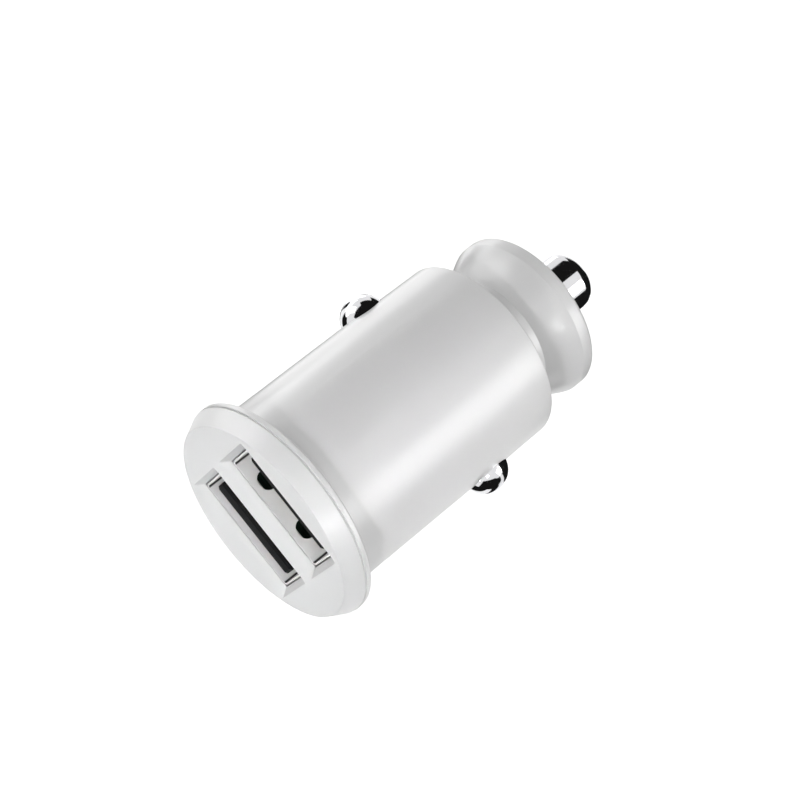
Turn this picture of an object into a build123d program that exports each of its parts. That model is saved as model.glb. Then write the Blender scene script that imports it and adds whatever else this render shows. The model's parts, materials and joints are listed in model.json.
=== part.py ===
from build123d import *
import os
from math import sqrt

# Car charger plug with two stacked charging ports. Sizes are in millimetres.
# The plug's axis is +Y, from the port face to the sprung tip. X runs along the port slots and +Z is up.
# The origin is the centre of the flange's rear face, which seats on the mouth of the car's socket.

# Barrel that goes into the socket
BARREL_R = 10.4
BARREL_WALL = 1.0
BARREL_LENGTH = 27.8
GUIDE_SETBACK = 3.0
REAR_TAPER = 0.1
REAR_EDGE_R = 0.2

# Head: the barrel's flange and the bezel in front of it
FLANGE_WIDTH = 1.9
FLANGE_THICKNESS = 0.7
FLANGE_DRAFT = 0.05
FLANGE_EDGE_R = 0.25
BEZEL_THICKNESS = 2.1
BEZEL_CHAMFER = 1.0
SEAM_WIDTH = 0.14
SEAM_DEPTH = 0.25

# Bezel's snap hooks and the groove that holds them
HOOK_THICKNESS = 1.0
HOOK_WIDTH = 4.2
HOOK_LENGTH = 5.9
HOOK_BARB = 0.3
BARB_LENGTH = 1.1
BARB_FLAT = 0.55
BARB_SETBACK = 0.2

# Charging ports, which are as wide as the bore allows
PORT_PITCH = 8.9
PORT_HEIGHT = 4.7
PORT_BORE_GAP = 0.12
SHELL_SHEET = 0.2
SHELL_CORNER_R = 0.5
MOUTH_SETBACK = 0.75
LEAD_IN_DEPTH = 0.62
LEAD_IN_END = 0.65
LEAD_IN_SIDE = 1.25
LEAD_IN_CORNER_R = 0.2
THROAT_STEP = 0.05
PORT_END_GAP = 0.15
PORT_SIDE_GAP = 0.05

# Retention fingers pressed out of each port shell's broad walls
FINGER_SPACING = 6.0
FINGER_WIDTH = 1.5
FINGER_SLOT_WIDTH = 2.1
FINGER_SLOT_FLAT = 0.2
FINGER_SETBACK = 0.65
FINGER_SLOT_LENGTH = 5.2
FINGER_BOW = 0.4
FINGER_LIP = 0.7
FINGER_LIP_BOW = 0.2

# Solder legs of each port shell
LEG_WIDTH = 2.0
LEG_SETBACK = 3.0
LEG_FOOT = 1.0

# Tongue that carries the contacts in each port
TONGUE_END_GAP = 0.65
TONGUE_THICKNESS = 1.84
TONGUE_SETBACK = 0.4
TONGUE_WALL_GAP = 0.45
TONGUE_EDGE = 0.25
TONGUE_BASE_LENGTH = 2.4

# Contact strips of each port; the outer two carry the power and reach further forward
CONTACT_PLACES = (-3.5, -1.0, 1.0, 3.5)
CONTACT_SETBACKS = (0.45, 1.2, 1.2, 0.45)
CONTACT_WIDTH = 0.9
CONTACT_SHEET = 0.25
CONTACT_GROOVE = 0.15
CONTACT_CREST = 0.3
CONTACT_NOSE = 0.35
CONTACT_SLOPE = 1.8
CONTACT_TAIL = 0.4

# Circuit board
BOARD_THICKNESS = 1.2
BOARD_EDGE_GAP = 0.5
BOARD_HOOK_SIDE_GAP = 0.8
BOARD_HOOK_END_GAP = 1.4
BOARD_CONTACT_GAP = 0.4
BOARD_TAIL_HALF = 4.0
BOARD_FRONT_SETBACK = 2.2
BOARD_PLUG_OVERLAP = 0.6
BOARD_TAB_LENGTH = 2.0
BOARD_TAB_REACH = 0.3
FORK_WIDTH = 3.6
FORK_DEPTH = 1.9
FORK_PORT_GAP = 0.35
RAIL_THICKNESS = 0.8
RAIL_GRIP = 0.9
RAIL_SETBACK = 1.6

# Parts on the board, each set back from the board's long edge
PARTS_ROOM = 6.05
INDUCTOR_SIZE = 4.9
INDUCTOR_HEIGHT = 3.2
INDUCTOR_CORNER_R = 0.8
INDUCTOR_RING_MARGIN = 0.4
INDUCTOR_RING_WIDTH = 0.3
INDUCTOR_RING_DEPTH = 0.4
INDUCTOR_SETBACK = 4.6
CHIP_LENGTH = 4.9
CHIP_WIDTH = 3.9
CHIP_HEIGHT = 1.45
CHIP_SETBACK = 4.7
CHIP_STANDOFF = 0.1
CHIP_LEADS_A_SIDE = 4
CHIP_LEAD_PITCH = 1.27
CHIP_LEAD_WIDTH = 0.4
CHIP_LEAD_REACH = 1.0
CHIP_LEAD_SHEET = 0.2
DIODE_LENGTH = 4.3
DIODE_WIDTH = 2.6
DIODE_HEIGHT = 2.2
DIODE_EDGE = 0.28
DIODE_LEAD_WIDTH = 1.6
DIODE_LEAD_HEIGHT = 1.1
DIODE_LEAD_REACH = 0.28
DIODE_SETBACK = 4.5
FUSE_LENGTH = 3.2
FUSE_WIDTH = 1.6
FUSE_HEIGHT = 0.7
FUSE_SETBACK = 3.7
RESISTOR_LENGTH = 1.6
RESISTOR_WIDTH = 0.8
RESISTOR_HEIGHT = 0.45
RESISTOR_PLACES = (-2.2, 0.4)
END_CAP_SHARE = 0.2
END_CAP_RISE = 0.05
CAPACITOR_R = 3.15
CAPACITOR_LENGTH = 6.4
CAPACITOR_CRIMP = 0.25
CAPACITOR_CRIMP_SETBACK = 1.1
CAPACITOR_LEAD = 0.5
CAPACITOR_LEAD_REACH = 1.0
CAPACITOR_LEAD_SPACING = 2.5

# Sprung side contacts
SIDE_CONTACT_SETBACK = 8.0
BALL_R = 2.5
BALL_REACH = 1.85
SIDE_FLANGE_R = 3.0
SIDE_FLANGE_THICKNESS = 0.7
SIDE_SPIGOT_R = 1.45
SIDE_SPIGOT_LENGTH = 1.2
GROUND_SHEET = 0.4
GROUND_LENGTH = 4.8
GROUND_HEIGHT = 5.0
SIDE_WIRE_R = 0.2
SIDE_COIL_R = 2.0
SIDE_COIL_TURNS = 4

# Tail cap
PLUG_LENGTH = 2.6
PLUG_RECESS = 0.6
PLUG_BEAD = 0.2
PLUG_BEAD_LENGTH = 0.8
NECK_R = 6.8
SHOULDER_START = 2.8
SHOULDER_BULGE = 0.31
CAP_R = 9.1
CAP_RIM_START = 6.1
CAP_RIM_END = 7.7
CAP_EDGE_R = 0.3
NOSE_BASE_R = 5.4
NOSE_R = 4.5
NOSE_LENGTH = 1.8

# Sprung tip
TIP_R = 3.2
TIP_REACH = 15.0
TIP_ROUND_R = 1.8
TIP_FLANGE_R = 4.25
TIP_FLANGE_THICKNESS = 1.0
TIP_STOP = 5.4
TIP_SPIGOT_R = 2.3
TIP_SPIGOT_LENGTH = 1.6
POSITIVE_SHEET = 0.4
POSITIVE_R = 4.15
PRONG_WIDTH = 4.0
PRONG_LENGTH = 0.9
TIP_WIRE_R = 0.3
TIP_COIL_R = 3.2
TIP_COIL_TURNS = 5

# Clearances
RUNNING_GAP = 0.06
SEAT_GAP = 0.05

# Places worked out from the sizes above
BORE_R = BARREL_R - BARREL_WALL
HEAD_R = BARREL_R + FLANGE_WIDTH
FACE_R = HEAD_R - BEZEL_CHAMFER
FLANGE_FRONT = -FLANGE_THICKNESS
FACE_Y = FLANGE_FRONT - BEZEL_THICKNESS
HOOK_END = FLANGE_FRONT + HOOK_LENGTH
HOOK_OUTER_R = BORE_R - SEAT_GAP
HOOK_INNER_R = HOOK_OUTER_R - HOOK_THICKNESS

PLUG_REAR = BARREL_LENGTH - PLUG_RECESS
PLUG_FRONT = PLUG_REAR - PLUG_LENGTH
BEAD_FRONT = PLUG_FRONT + (PLUG_LENGTH - PLUG_BEAD_LENGTH) / 2
BEAD_REAR = BEAD_FRONT + PLUG_BEAD_LENGTH
CAP_BORE_R = TIP_FLANGE_R + RUNNING_GAP
TIP_STOP_Y = BARREL_LENGTH + TIP_STOP
TIP_FLANGE_FRONT = TIP_STOP_Y - TIP_FLANGE_THICKNESS

SIDE_CONTACT_Y = BARREL_LENGTH - SIDE_CONTACT_SETBACK
GUIDE_LENGTH = SIDE_CONTACT_Y - GUIDE_SETBACK
BALL_X = BARREL_R + BALL_REACH - BALL_R
SIDE_FLANGE_X = sqrt(BORE_R**2 - SIDE_FLANGE_R**2) - SEAT_GAP
SIDE_FLANGE_BACK = SIDE_FLANGE_X - SIDE_FLANGE_THICKNESS
GROUND_FACE_X = BOARD_TAIL_HALF + GROUND_SHEET

BOARD_TOP = BOARD_THICKNESS / 2
BOARD_HALF = BORE_R - BOARD_EDGE_GAP
BOARD_FRONT_HALF = BORE_R - HOOK_THICKNESS - BOARD_HOOK_SIDE_GAP
BOARD_FRONT = FACE_Y + BOARD_FRONT_SETBACK
BOARD_WIDE_START = HOOK_END + BOARD_HOOK_END_GAP
BOARD_WIDE_END = SIDE_CONTACT_Y - SIDE_FLANGE_R - BOARD_CONTACT_GAP
BOARD_END = PLUG_FRONT + BOARD_PLUG_OVERLAP
POSITIVE_REAR = BOARD_END + POSITIVE_SHEET
PARTS_Y = BOARD_WIDE_END - PARTS_ROOM / 2
CONTACT_TAIL_Y = BOARD_WIDE_END - PARTS_ROOM

MOUTH_Y = FACE_Y + MOUTH_SETBACK
SHELL_REAR = CONTACT_TAIL_Y - CONTACT_TAIL
SHELL_HEIGHT = PORT_HEIGHT + 2 * SHELL_SHEET
PORT_Z = PORT_PITCH / 2
CORNER_Z = PORT_Z + SHELL_HEIGHT / 2 - SHELL_CORNER_R
CORNER_X = sqrt((BORE_R - PORT_BORE_GAP - SHELL_CORNER_R) ** 2 - CORNER_Z**2)
SHELL_WIDTH = 2 * (CORNER_X + SHELL_CORNER_R)
PORT_WIDTH = SHELL_WIDTH - 2 * SHELL_SHEET
TONGUE_WIDTH = PORT_WIDTH - 2 * TONGUE_END_GAP


def across(y):
    """Plane square to the plug's axis at y, with X to the right and Z up."""
    return Plane.XZ.offset(-y)


def bar(width, height, y0, y1, x=0, z=0, radius=0):
    """Bar along the axis from y0 to y1, with rounded long edges where a radius is given."""
    outline = RectangleRounded(width, height, radius) if radius else Rectangle(width, height)
    return extrude(across(y0) * Pos(x, z) * outline, amount=y0 - y1)


def block(x0, x1, y0, y1, z0, z1):
    """Box between two corners."""
    centre = Pos((x0 + x1) / 2, (y0 + y1) / 2, (z0 + z1) / 2)
    return centre * Box(x1 - x0, y1 - y0, z1 - z0)


def outline(*points):
    """Face in the XY plane, bounded by straight lines through the points."""
    return make_face(Polyline(*points, close=True))


def rounded(face, radius, *corners):
    """The face with the named corners filleted."""
    picked = [face.vertices().sort_by_distance((x, y, 0))[0] for x, y in corners]
    return fillet(picked, radius)


def side_strip(width, x, *points):
    """Strip with its (y, z) outline square to X, centred on x."""
    face = make_face(Plane.YZ * Polyline(*points, close=True))
    return Pos(x, 0, 0) * extrude(face, amount=width / 2, both=True)


def rod_x(radius, x0, x1, y=0):
    """Round rod along X from x0 to x1."""
    return Pos((x0 + x1) / 2, y, 0) * Rot(0, 90, 0) * Cylinder(radius, x1 - x0)


def mirrored(solid):
    """The same piece for the other port, on the far side of the board."""
    return mirror(solid, about=Plane.XY)


def coil(coil_r, wire_r, turns, length):
    """Open coil spring along +Z from 0 to length."""
    rise = length - 2 * (wire_r + SEAT_GAP)
    line = Helix(pitch=rise / turns, height=rise, radius=coil_r)
    wire = sweep(Plane(line @ 0, z_dir=line % 0) * Circle(wire_r), path=line, is_frenet=True)
    return Pos(0, 0, wire_r + SEAT_GAP) * wire


# Barrel and cap


def make_barrel():
    """Flanged tube with rails for the board, a snap groove at each end and holes for the side contacts."""
    section = outline(
        (BORE_R, FLANGE_FRONT),
        (HEAD_R, FLANGE_FRONT),
        (HEAD_R - FLANGE_DRAFT, 0),
        (BARREL_R, 0),
        (BARREL_R, GUIDE_LENGTH),
        (BARREL_R - REAR_TAPER, BARREL_LENGTH),
        (BORE_R, BARREL_LENGTH),
    )
    section = rounded(section, FLANGE_EDGE_R, (HEAD_R - FLANGE_DRAFT, 0))
    section = rounded(section, REAR_EDGE_R, (BARREL_R - REAR_TAPER, BARREL_LENGTH))
    tube = revolve(section, Axis.Y)

    rail_x = BOARD_HALF - RAIL_GRIP
    rail_z = BOARD_TOP + SEAT_GAP
    rail_end = BOARD_WIDE_END - RAIL_SETBACK
    rails = Part()
    for side in (-1, 1):
        for face in (-1, 1):
            x0, x1 = sorted((side * rail_x, side * BARREL_R))
            z0, z1 = sorted((face * rail_z, face * (rail_z + RAIL_THICKNESS)))
            rails += block(x0, x1, BOARD_WIDE_START, rail_end, z0, z1)
    inner_wall = Pos(0, (BOARD_WIDE_START + rail_end) / 2, 0) * Rot(90, 0, 0)
    tube += rails & inner_wall * Cylinder(BORE_R + BARREL_WALL / 2, rail_end - BOARD_WIDE_START)

    tube -= ring_groove(HOOK_BARB, HOOK_END - BARB_SETBACK - BARB_LENGTH, HOOK_END)
    tube -= ring_groove(PLUG_BEAD, BEAD_FRONT, BEAD_REAR)
    tube -= rod_x(BALL_R + RUNNING_GAP, -HEAD_R, HEAD_R, SIDE_CONTACT_Y)
    return tube


def ring_groove(depth, y0, y1):
    """Ring cut from the bore for a bead or barb of the given height between y0 and y1."""
    section = outline(
        (HOOK_INNER_R, y0 - SEAT_GAP),
        (BORE_R + depth + SEAT_GAP, y0 - SEAT_GAP),
        (BORE_R + depth + SEAT_GAP, y1 + SEAT_GAP),
        (HOOK_INNER_R, y1 + SEAT_GAP),
    )
    return revolve(section, Axis.Y)


def make_bezel():
    """Chamfered front plate with two port openings, four snap hooks and a fork for the board."""
    section = outline(
        (0, FACE_Y),
        (FACE_R, FACE_Y),
        (HEAD_R, FLANGE_FRONT - SEAM_WIDTH),
        (HEAD_R - SEAM_DEPTH, FLANGE_FRONT - SEAM_WIDTH),
        (HEAD_R - SEAM_DEPTH, FLANGE_FRONT),
        (0, FLANGE_FRONT),
    )
    plate = revolve(section, Axis.Y)
    plate += make_hooks()
    fork_height = PORT_PITCH - SHELL_HEIGHT - 2 * FORK_PORT_GAP
    plate += bar(FORK_WIDTH, fork_height, FLANGE_FRONT, FLANGE_FRONT + FORK_DEPTH)
    slot_height = BOARD_THICKNESS + 2 * SEAT_GAP
    plate -= bar(FORK_WIDTH, slot_height, BOARD_FRONT - SEAT_GAP, FLANGE_FRONT + FORK_DEPTH)
    for z in (-PORT_Z, PORT_Z):
        plate -= port_opening(z)
    return plate


def port_opening(z):
    """Opening for one port: a sloped lead-in, a throat and behind it a pocket that clears the shell."""
    width = SHELL_WIDTH + 2 * PORT_END_GAP
    height = PORT_HEIGHT + 2 * THROAT_STEP
    mouth = RectangleRounded(width + 2 * LEAD_IN_END, height + 2 * LEAD_IN_SIDE, LEAD_IN_CORNER_R)
    throat = RectangleRounded(width, height, LEAD_IN_CORNER_R)
    throat_y = FACE_Y + LEAD_IN_DEPTH
    opening = loft([across(FACE_Y) * Pos(0, z) * mouth, across(throat_y) * Pos(0, z) * throat])
    opening += bar(width, height, throat_y, FLANGE_FRONT, z=z, radius=LEAD_IN_CORNER_R)
    pocket_height = SHELL_HEIGHT + 2 * PORT_SIDE_GAP
    return opening + bar(width, pocket_height, MOUTH_Y - SEAT_GAP, FLANGE_FRONT, z=z, radius=LEAD_IN_CORNER_R)


def make_hooks():
    """Four hooks that follow the bore, each with a barb for the barrel's front groove."""
    barb_start = HOOK_END - BARB_SETBACK - BARB_LENGTH
    section = outline(
        (HOOK_INNER_R, FLANGE_FRONT),
        (HOOK_OUTER_R, FLANGE_FRONT),
        (HOOK_OUTER_R, barb_start),
        (HOOK_OUTER_R + HOOK_BARB, barb_start),
        (HOOK_OUTER_R + HOOK_BARB, barb_start + BARB_FLAT),
        (HOOK_OUTER_R, HOOK_END),
        (HOOK_INNER_R, HOOK_END),
    )
    ring = revolve(section, Axis.Y)
    cross = bar(2 * BARREL_R, HOOK_WIDTH, FLANGE_FRONT, HOOK_END)
    cross += bar(HOOK_WIDTH, 2 * BARREL_R, FLANGE_FRONT, HOOK_END)
    return ring & cross


def make_tail_cap():
    """Tail cap with a beaded plug, a waist, a domed shoulder, a rim and the nose that guides the tip."""
    start = BARREL_LENGTH + SHOULDER_START
    rim_start = BARREL_LENGTH + CAP_RIM_START
    rim_end = BARREL_LENGTH + CAP_RIM_END
    nose_end = rim_end + NOSE_LENGTH
    plug_r = BORE_R - SEAT_GAP
    front = Polyline(
        (NECK_R, start),
        (NECK_R, PLUG_REAR),
        (plug_r, PLUG_REAR),
        (plug_r, PLUG_FRONT),
        (CAP_BORE_R, PLUG_FRONT),
        (CAP_BORE_R, TIP_STOP_Y),
        (TIP_R + RUNNING_GAP, TIP_STOP_Y),
        (TIP_R + RUNNING_GAP, nose_end),
        (NOSE_R, nose_end),
        (NOSE_BASE_R, rim_end),
        (CAP_R, rim_end),
        (CAP_R, rim_start),
    )
    shoulder_mid = ((CAP_R + NECK_R) / 2 + SHOULDER_BULGE, (rim_start + start) / 2)
    shoulder = ThreePointArc((CAP_R, rim_start), shoulder_mid, (NECK_R, start))
    section = make_face(front + shoulder)
    section = rounded(section, CAP_EDGE_R, (CAP_R, rim_end), (NOSE_R, nose_end))
    cap = revolve(section, Axis.Y)
    bead = outline(
        (plug_r - PLUG_BEAD, BEAD_FRONT),
        (plug_r, BEAD_FRONT),
        (plug_r + PLUG_BEAD, (BEAD_FRONT + BEAD_REAR) / 2),
        (plug_r, BEAD_REAR),
        (plug_r - PLUG_BEAD, BEAD_REAR),
    )
    return cap + revolve(bead, Axis.Y)


# Tip


def make_tip():
    """Centre contact: a round-ended pin with a stop flange and a spigot for its spring."""
    end = BARREL_LENGTH + TIP_REACH
    spigot_start = TIP_FLANGE_FRONT - TIP_SPIGOT_LENGTH
    section = outline(
        (0, spigot_start),
        (TIP_SPIGOT_R, spigot_start),
        (TIP_SPIGOT_R, TIP_FLANGE_FRONT),
        (TIP_FLANGE_R, TIP_FLANGE_FRONT),
        (TIP_FLANGE_R, TIP_STOP_Y),
        (TIP_R, TIP_STOP_Y),
        (TIP_R, end),
        (0, end),
    )
    section = rounded(section, TIP_ROUND_R, (TIP_R, end))
    return revolve(section, Axis.Y)


def make_tip_spring():
    """Coil spring between the positive contact and the tip's flange."""
    spring = coil(TIP_COIL_R, TIP_WIRE_R, TIP_COIL_TURNS, TIP_FLANGE_FRONT - POSITIVE_REAR)
    return Pos(0, POSITIVE_REAR, 0) * Rot(-90, 0, 0) * spring


def make_positive_contact():
    """Disc that seats the tip's spring, with two prongs that grip the end of the board."""
    disc = Pos(0, BOARD_END + POSITIVE_SHEET / 2, 0) * Rot(90, 0, 0) * Cylinder(POSITIVE_R, POSITIVE_SHEET)
    for face in (-1, 1):
        z = face * (BOARD_TOP + POSITIVE_SHEET / 2)
        disc += bar(PRONG_WIDTH, POSITIVE_SHEET, BOARD_END - PRONG_LENGTH, POSITIVE_REAR, z=z)
    return disc


# Side contacts, made for the +X side


def make_side_contact():
    """Ball-headed plunger with a stop flange inside the barrel's wall and a spigot for its spring."""
    head = Pos(BALL_X, SIDE_CONTACT_Y, 0) * Sphere(BALL_R)
    plunger = head & block(BALL_X, BALL_X + BALL_R, *side_contact_span())
    plunger += rod_x(BALL_R, SIDE_FLANGE_X, BALL_X, SIDE_CONTACT_Y)
    plunger += rod_x(SIDE_FLANGE_R, SIDE_FLANGE_BACK, SIDE_FLANGE_X, SIDE_CONTACT_Y)
    spigot_end = SIDE_FLANGE_BACK - SIDE_SPIGOT_LENGTH
    return plunger + rod_x(SIDE_SPIGOT_R, spigot_end, SIDE_FLANGE_BACK, SIDE_CONTACT_Y)


def side_contact_span():
    """Y and Z limits of the ball head."""
    return SIDE_CONTACT_Y - BALL_R, SIDE_CONTACT_Y + BALL_R, -BALL_R, BALL_R


def make_side_spring():
    """Coil spring between the ground plate and the plunger's flange."""
    spring = coil(SIDE_COIL_R, SIDE_WIRE_R, SIDE_COIL_TURNS, SIDE_FLANGE_BACK - GROUND_FACE_X)
    return Pos(GROUND_FACE_X, SIDE_CONTACT_Y, 0) * Rot(0, 90, 0) * spring


def make_ground_plate():
    """Plate that seats the side spring, slotted over the tab at the edge of the board."""
    half = GROUND_LENGTH / 2
    rise = GROUND_HEIGHT / 2
    plate = block(
        BOARD_TAIL_HALF, GROUND_FACE_X, SIDE_CONTACT_Y - half, SIDE_CONTACT_Y + half, -rise, rise
    )
    slot_half = BOARD_TAB_LENGTH / 2 + SEAT_GAP
    slot_rise = BOARD_TOP + SEAT_GAP
    return plate - block(
        0, BARREL_R, SIDE_CONTACT_Y - slot_half, SIDE_CONTACT_Y + slot_half, -slot_rise, slot_rise
    )


# Ports, made for the upper one


def make_shell():
    """Folded sheet shell with two retention fingers in each broad wall and two soldered legs."""
    shell = bar(SHELL_WIDTH, SHELL_HEIGHT, MOUTH_Y, SHELL_REAR, z=PORT_Z, radius=SHELL_CORNER_R)
    shell -= bar(
        PORT_WIDTH, PORT_HEIGHT, MOUTH_Y, SHELL_REAR, z=PORT_Z, radius=SHELL_CORNER_R - SHELL_SHEET
    )
    for side in (-1, 1):
        for wall in (-1, 1):
            shell -= finger_slot(side * FINGER_SPACING / 2, wall)
            shell += finger(side * FINGER_SPACING / 2, wall)
        shell += shell_leg(side)
    return shell


def finger_slot(x, wall):
    """Round-ended slot through one broad wall, around a retention finger."""
    start = MOUTH_Y + FINGER_SETBACK
    middle = start + FINGER_SLOT_LENGTH / 2
    z = PORT_Z + wall * SHELL_HEIGHT / 2
    end_r = (FINGER_SLOT_WIDTH - FINGER_SLOT_FLAT) / 2
    slot = RectangleRounded(FINGER_SLOT_WIDTH, FINGER_SLOT_LENGTH, end_r)
    return Pos(x, middle, z) * extrude(slot, amount=2 * SHELL_SHEET, both=True)


def finger(x, wall):
    """Finger rooted at the slot's rear end, bowed into the port towards its free end."""
    z = PORT_Z + wall * SHELL_HEIGHT / 2
    root = MOUTH_Y + FINGER_SETBACK + FINGER_SLOT_LENGTH + SHELL_SHEET
    tip = MOUTH_Y + FINGER_SETBACK + FINGER_SLOT_WIDTH / 2
    crest = tip + FINGER_LIP
    inner = z - wall * SHELL_SHEET
    bow = wall * FINGER_BOW
    lip = wall * FINGER_LIP_BOW
    return side_strip(
        FINGER_WIDTH,
        x,
        (root, z),
        (crest, z - bow),
        (tip, z - lip),
        (tip, inner - lip),
        (crest, inner - bow),
        (root, inner),
    )


def shell_leg(side):
    """Leg from one narrow wall down to a foot on the board."""
    y0 = SHELL_REAR - LEG_SETBACK - LEG_WIDTH
    outer = SHELL_WIDTH / 2
    top = PORT_Z - SHELL_HEIGHT / 2 + SHELL_CORNER_R + SHELL_SHEET
    x0, x1 = sorted((side * (outer - SHELL_SHEET), side * outer))
    leg = block(x0, x1, y0, y0 + LEG_WIDTH, BOARD_TOP, top)
    x0, x1 = sorted((side * (outer - SHELL_SHEET), side * (outer + LEG_FOOT)))
    return leg + block(x0, x1, y0, y0 + LEG_WIDTH, BOARD_TOP, BOARD_TOP + SHELL_SHEET)


def make_tongue():
    """Insulator: a base that fills the shell's rear and a tongue beside the wall away from the board."""
    base_front = SHELL_REAR - TONGUE_BASE_LENGTH
    fit = 2 * SEAT_GAP
    inner_r = SHELL_CORNER_R - SHELL_SHEET
    base = bar(PORT_WIDTH - fit, PORT_HEIGHT - fit, base_front, SHELL_REAR, z=PORT_Z, radius=inner_r)
    centre = PORT_Z + PORT_HEIGHT / 2 - TONGUE_WALL_GAP - TONGUE_THICKNESS / 2
    front = MOUTH_Y + TONGUE_SETBACK
    tongue = bar(TONGUE_WIDTH, TONGUE_THICKNESS, front, base_front, z=centre)
    tongue = chamfer(tongue.faces().sort_by(Axis.Y)[0].edges(), TONGUE_EDGE)
    insulator = base + tongue
    for x, setback in zip(CONTACT_PLACES, CONTACT_SETBACKS):
        insulator -= contact_channel(x, setback)
    return insulator


def contact_levels():
    """Lower and upper level of the contact strips, which lie in the tongue's face towards the board."""
    face = PORT_Z + PORT_HEIGHT / 2 - TONGUE_WALL_GAP - TONGUE_THICKNESS
    top = face + CONTACT_GROOVE
    return top - CONTACT_SHEET, top


def contact_channel(x, setback):
    """Groove along the tongue and passage through its base for one contact strip."""
    low, top = contact_levels()
    half = CONTACT_WIDTH / 2 + SEAT_GAP
    start = MOUTH_Y + TONGUE_SETBACK + setback - SEAT_GAP
    return block(x - half, x + half, start, SHELL_REAR, low - SEAT_GAP, top + SEAT_GAP)


def make_contact(x, setback):
    """Contact strip along the tongue, with a crest near its front and a tail bent down to the board."""
    low, top = contact_levels()
    front = MOUTH_Y + TONGUE_SETBACK + setback
    crest_y = front + CONTACT_NOSE
    return side_strip(
        CONTACT_WIDTH,
        x,
        (front, top),
        (CONTACT_TAIL_Y, top),
        (CONTACT_TAIL_Y, BOARD_TOP),
        (CONTACT_TAIL_Y - CONTACT_SHEET, BOARD_TOP),
        (CONTACT_TAIL_Y - CONTACT_SHEET, low),
        (crest_y + CONTACT_SLOPE, low),
        (crest_y, low - CONTACT_CREST),
        (front, low),
    )


# Board and the parts on it


def make_board():
    """Stepped board: narrow between the hooks, wide in the rails, narrow between the side contacts."""
    tab_half = BOARD_TAB_LENGTH / 2
    tab_reach = GROUND_FACE_X + BOARD_TAB_REACH
    right = [
        (BOARD_FRONT_HALF, BOARD_FRONT),
        (BOARD_FRONT_HALF, BOARD_WIDE_START),
        (BOARD_HALF, BOARD_WIDE_START),
        (BOARD_HALF, BOARD_WIDE_END),
        (BOARD_TAIL_HALF, BOARD_WIDE_END),
        (BOARD_TAIL_HALF, SIDE_CONTACT_Y - tab_half),
        (tab_reach, SIDE_CONTACT_Y - tab_half),
        (tab_reach, SIDE_CONTACT_Y + tab_half),
        (BOARD_TAIL_HALF, SIDE_CONTACT_Y + tab_half),
        (BOARD_TAIL_HALF, BOARD_END),
    ]
    left = [(-x, y) for x, y in reversed(right)]
    return extrude(outline(*right, *left), amount=BOARD_THICKNESS / 2, both=True)


def on_board(length, width, height, x, face):
    """Block on one face of the board, with its length along the plug."""
    z0, z1 = sorted((face * BOARD_TOP, face * (BOARD_TOP + height)))
    return block(x - width / 2, x + width / 2, PARTS_Y - length / 2, PARTS_Y + length / 2, z0, z1)


def make_inductor():
    """Shielded inductor with rounded corners and a round core in its top."""
    x = INDUCTOR_SETBACK - BOARD_HALF
    can = RectangleRounded(INDUCTOR_SIZE, INDUCTOR_SIZE, INDUCTOR_CORNER_R)
    body = Pos(x, PARTS_Y, BOARD_TOP) * extrude(can, amount=INDUCTOR_HEIGHT)
    ring_r = INDUCTOR_SIZE / 2 - INDUCTOR_RING_MARGIN
    ring = Circle(ring_r) - Circle(ring_r - INDUCTOR_RING_WIDTH)
    top = Pos(x, PARTS_Y, BOARD_TOP + INDUCTOR_HEIGHT)
    return body - top * extrude(ring, amount=-INDUCTOR_RING_DEPTH)


def make_chip():
    """Controller chip with a row of bent leads along each side."""
    x = BOARD_HALF - CHIP_SETBACK
    body = on_board(CHIP_LENGTH, CHIP_WIDTH, CHIP_HEIGHT, x, 1)
    body -= on_board(CHIP_LENGTH, CHIP_WIDTH, CHIP_STANDOFF, x, 1)
    shoulder = BOARD_TOP + CHIP_HEIGHT / 2
    first = PARTS_Y - CHIP_LEAD_PITCH * (CHIP_LEADS_A_SIDE - 1) / 2
    for side in (-1, 1):
        edge = x + side * CHIP_WIDTH / 2
        knee = edge + side * CHIP_LEAD_REACH / 2
        toe = edge + side * CHIP_LEAD_REACH
        for number in range(CHIP_LEADS_A_SIDE):
            y0 = first + number * CHIP_LEAD_PITCH - CHIP_LEAD_WIDTH / 2
            y1 = y0 + CHIP_LEAD_WIDTH
            x0, x1 = sorted((edge, knee))
            body += block(x0, x1, y0, y1, shoulder - CHIP_LEAD_SHEET, shoulder)
            x0, x1 = sorted((knee - side * CHIP_LEAD_SHEET, knee))
            body += block(x0, x1, y0, y1, BOARD_TOP, shoulder)
            x0, x1 = sorted((knee - side * CHIP_LEAD_SHEET, toe))
            body += block(x0, x1, y0, y1, BOARD_TOP, BOARD_TOP + CHIP_LEAD_SHEET)
    return body


def make_diode():
    """Rectifier under the board, with its two end terminals wrapped round the body."""
    x = BOARD_HALF - DIODE_SETBACK
    body = on_board(DIODE_LENGTH, DIODE_WIDTH, DIODE_HEIGHT, x, -1)
    body = chamfer(body.faces().sort_by(Axis.Z)[0].edges(), DIODE_EDGE)
    span = DIODE_LENGTH + 2 * DIODE_LEAD_REACH
    return body + on_board(span, DIODE_LEAD_WIDTH, DIODE_LEAD_HEIGHT, x, -1)


def end_capped(length, width, height, x):
    """Small chip part under the board, with raised metal caps at its two ends."""
    body = on_board(length, width, height - END_CAP_RISE, x, -1)
    between = on_board(length * (1 - 2 * END_CAP_SHARE), width, height, x, -1)
    return body + (on_board(length, width, height, x, -1) - between)


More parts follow.
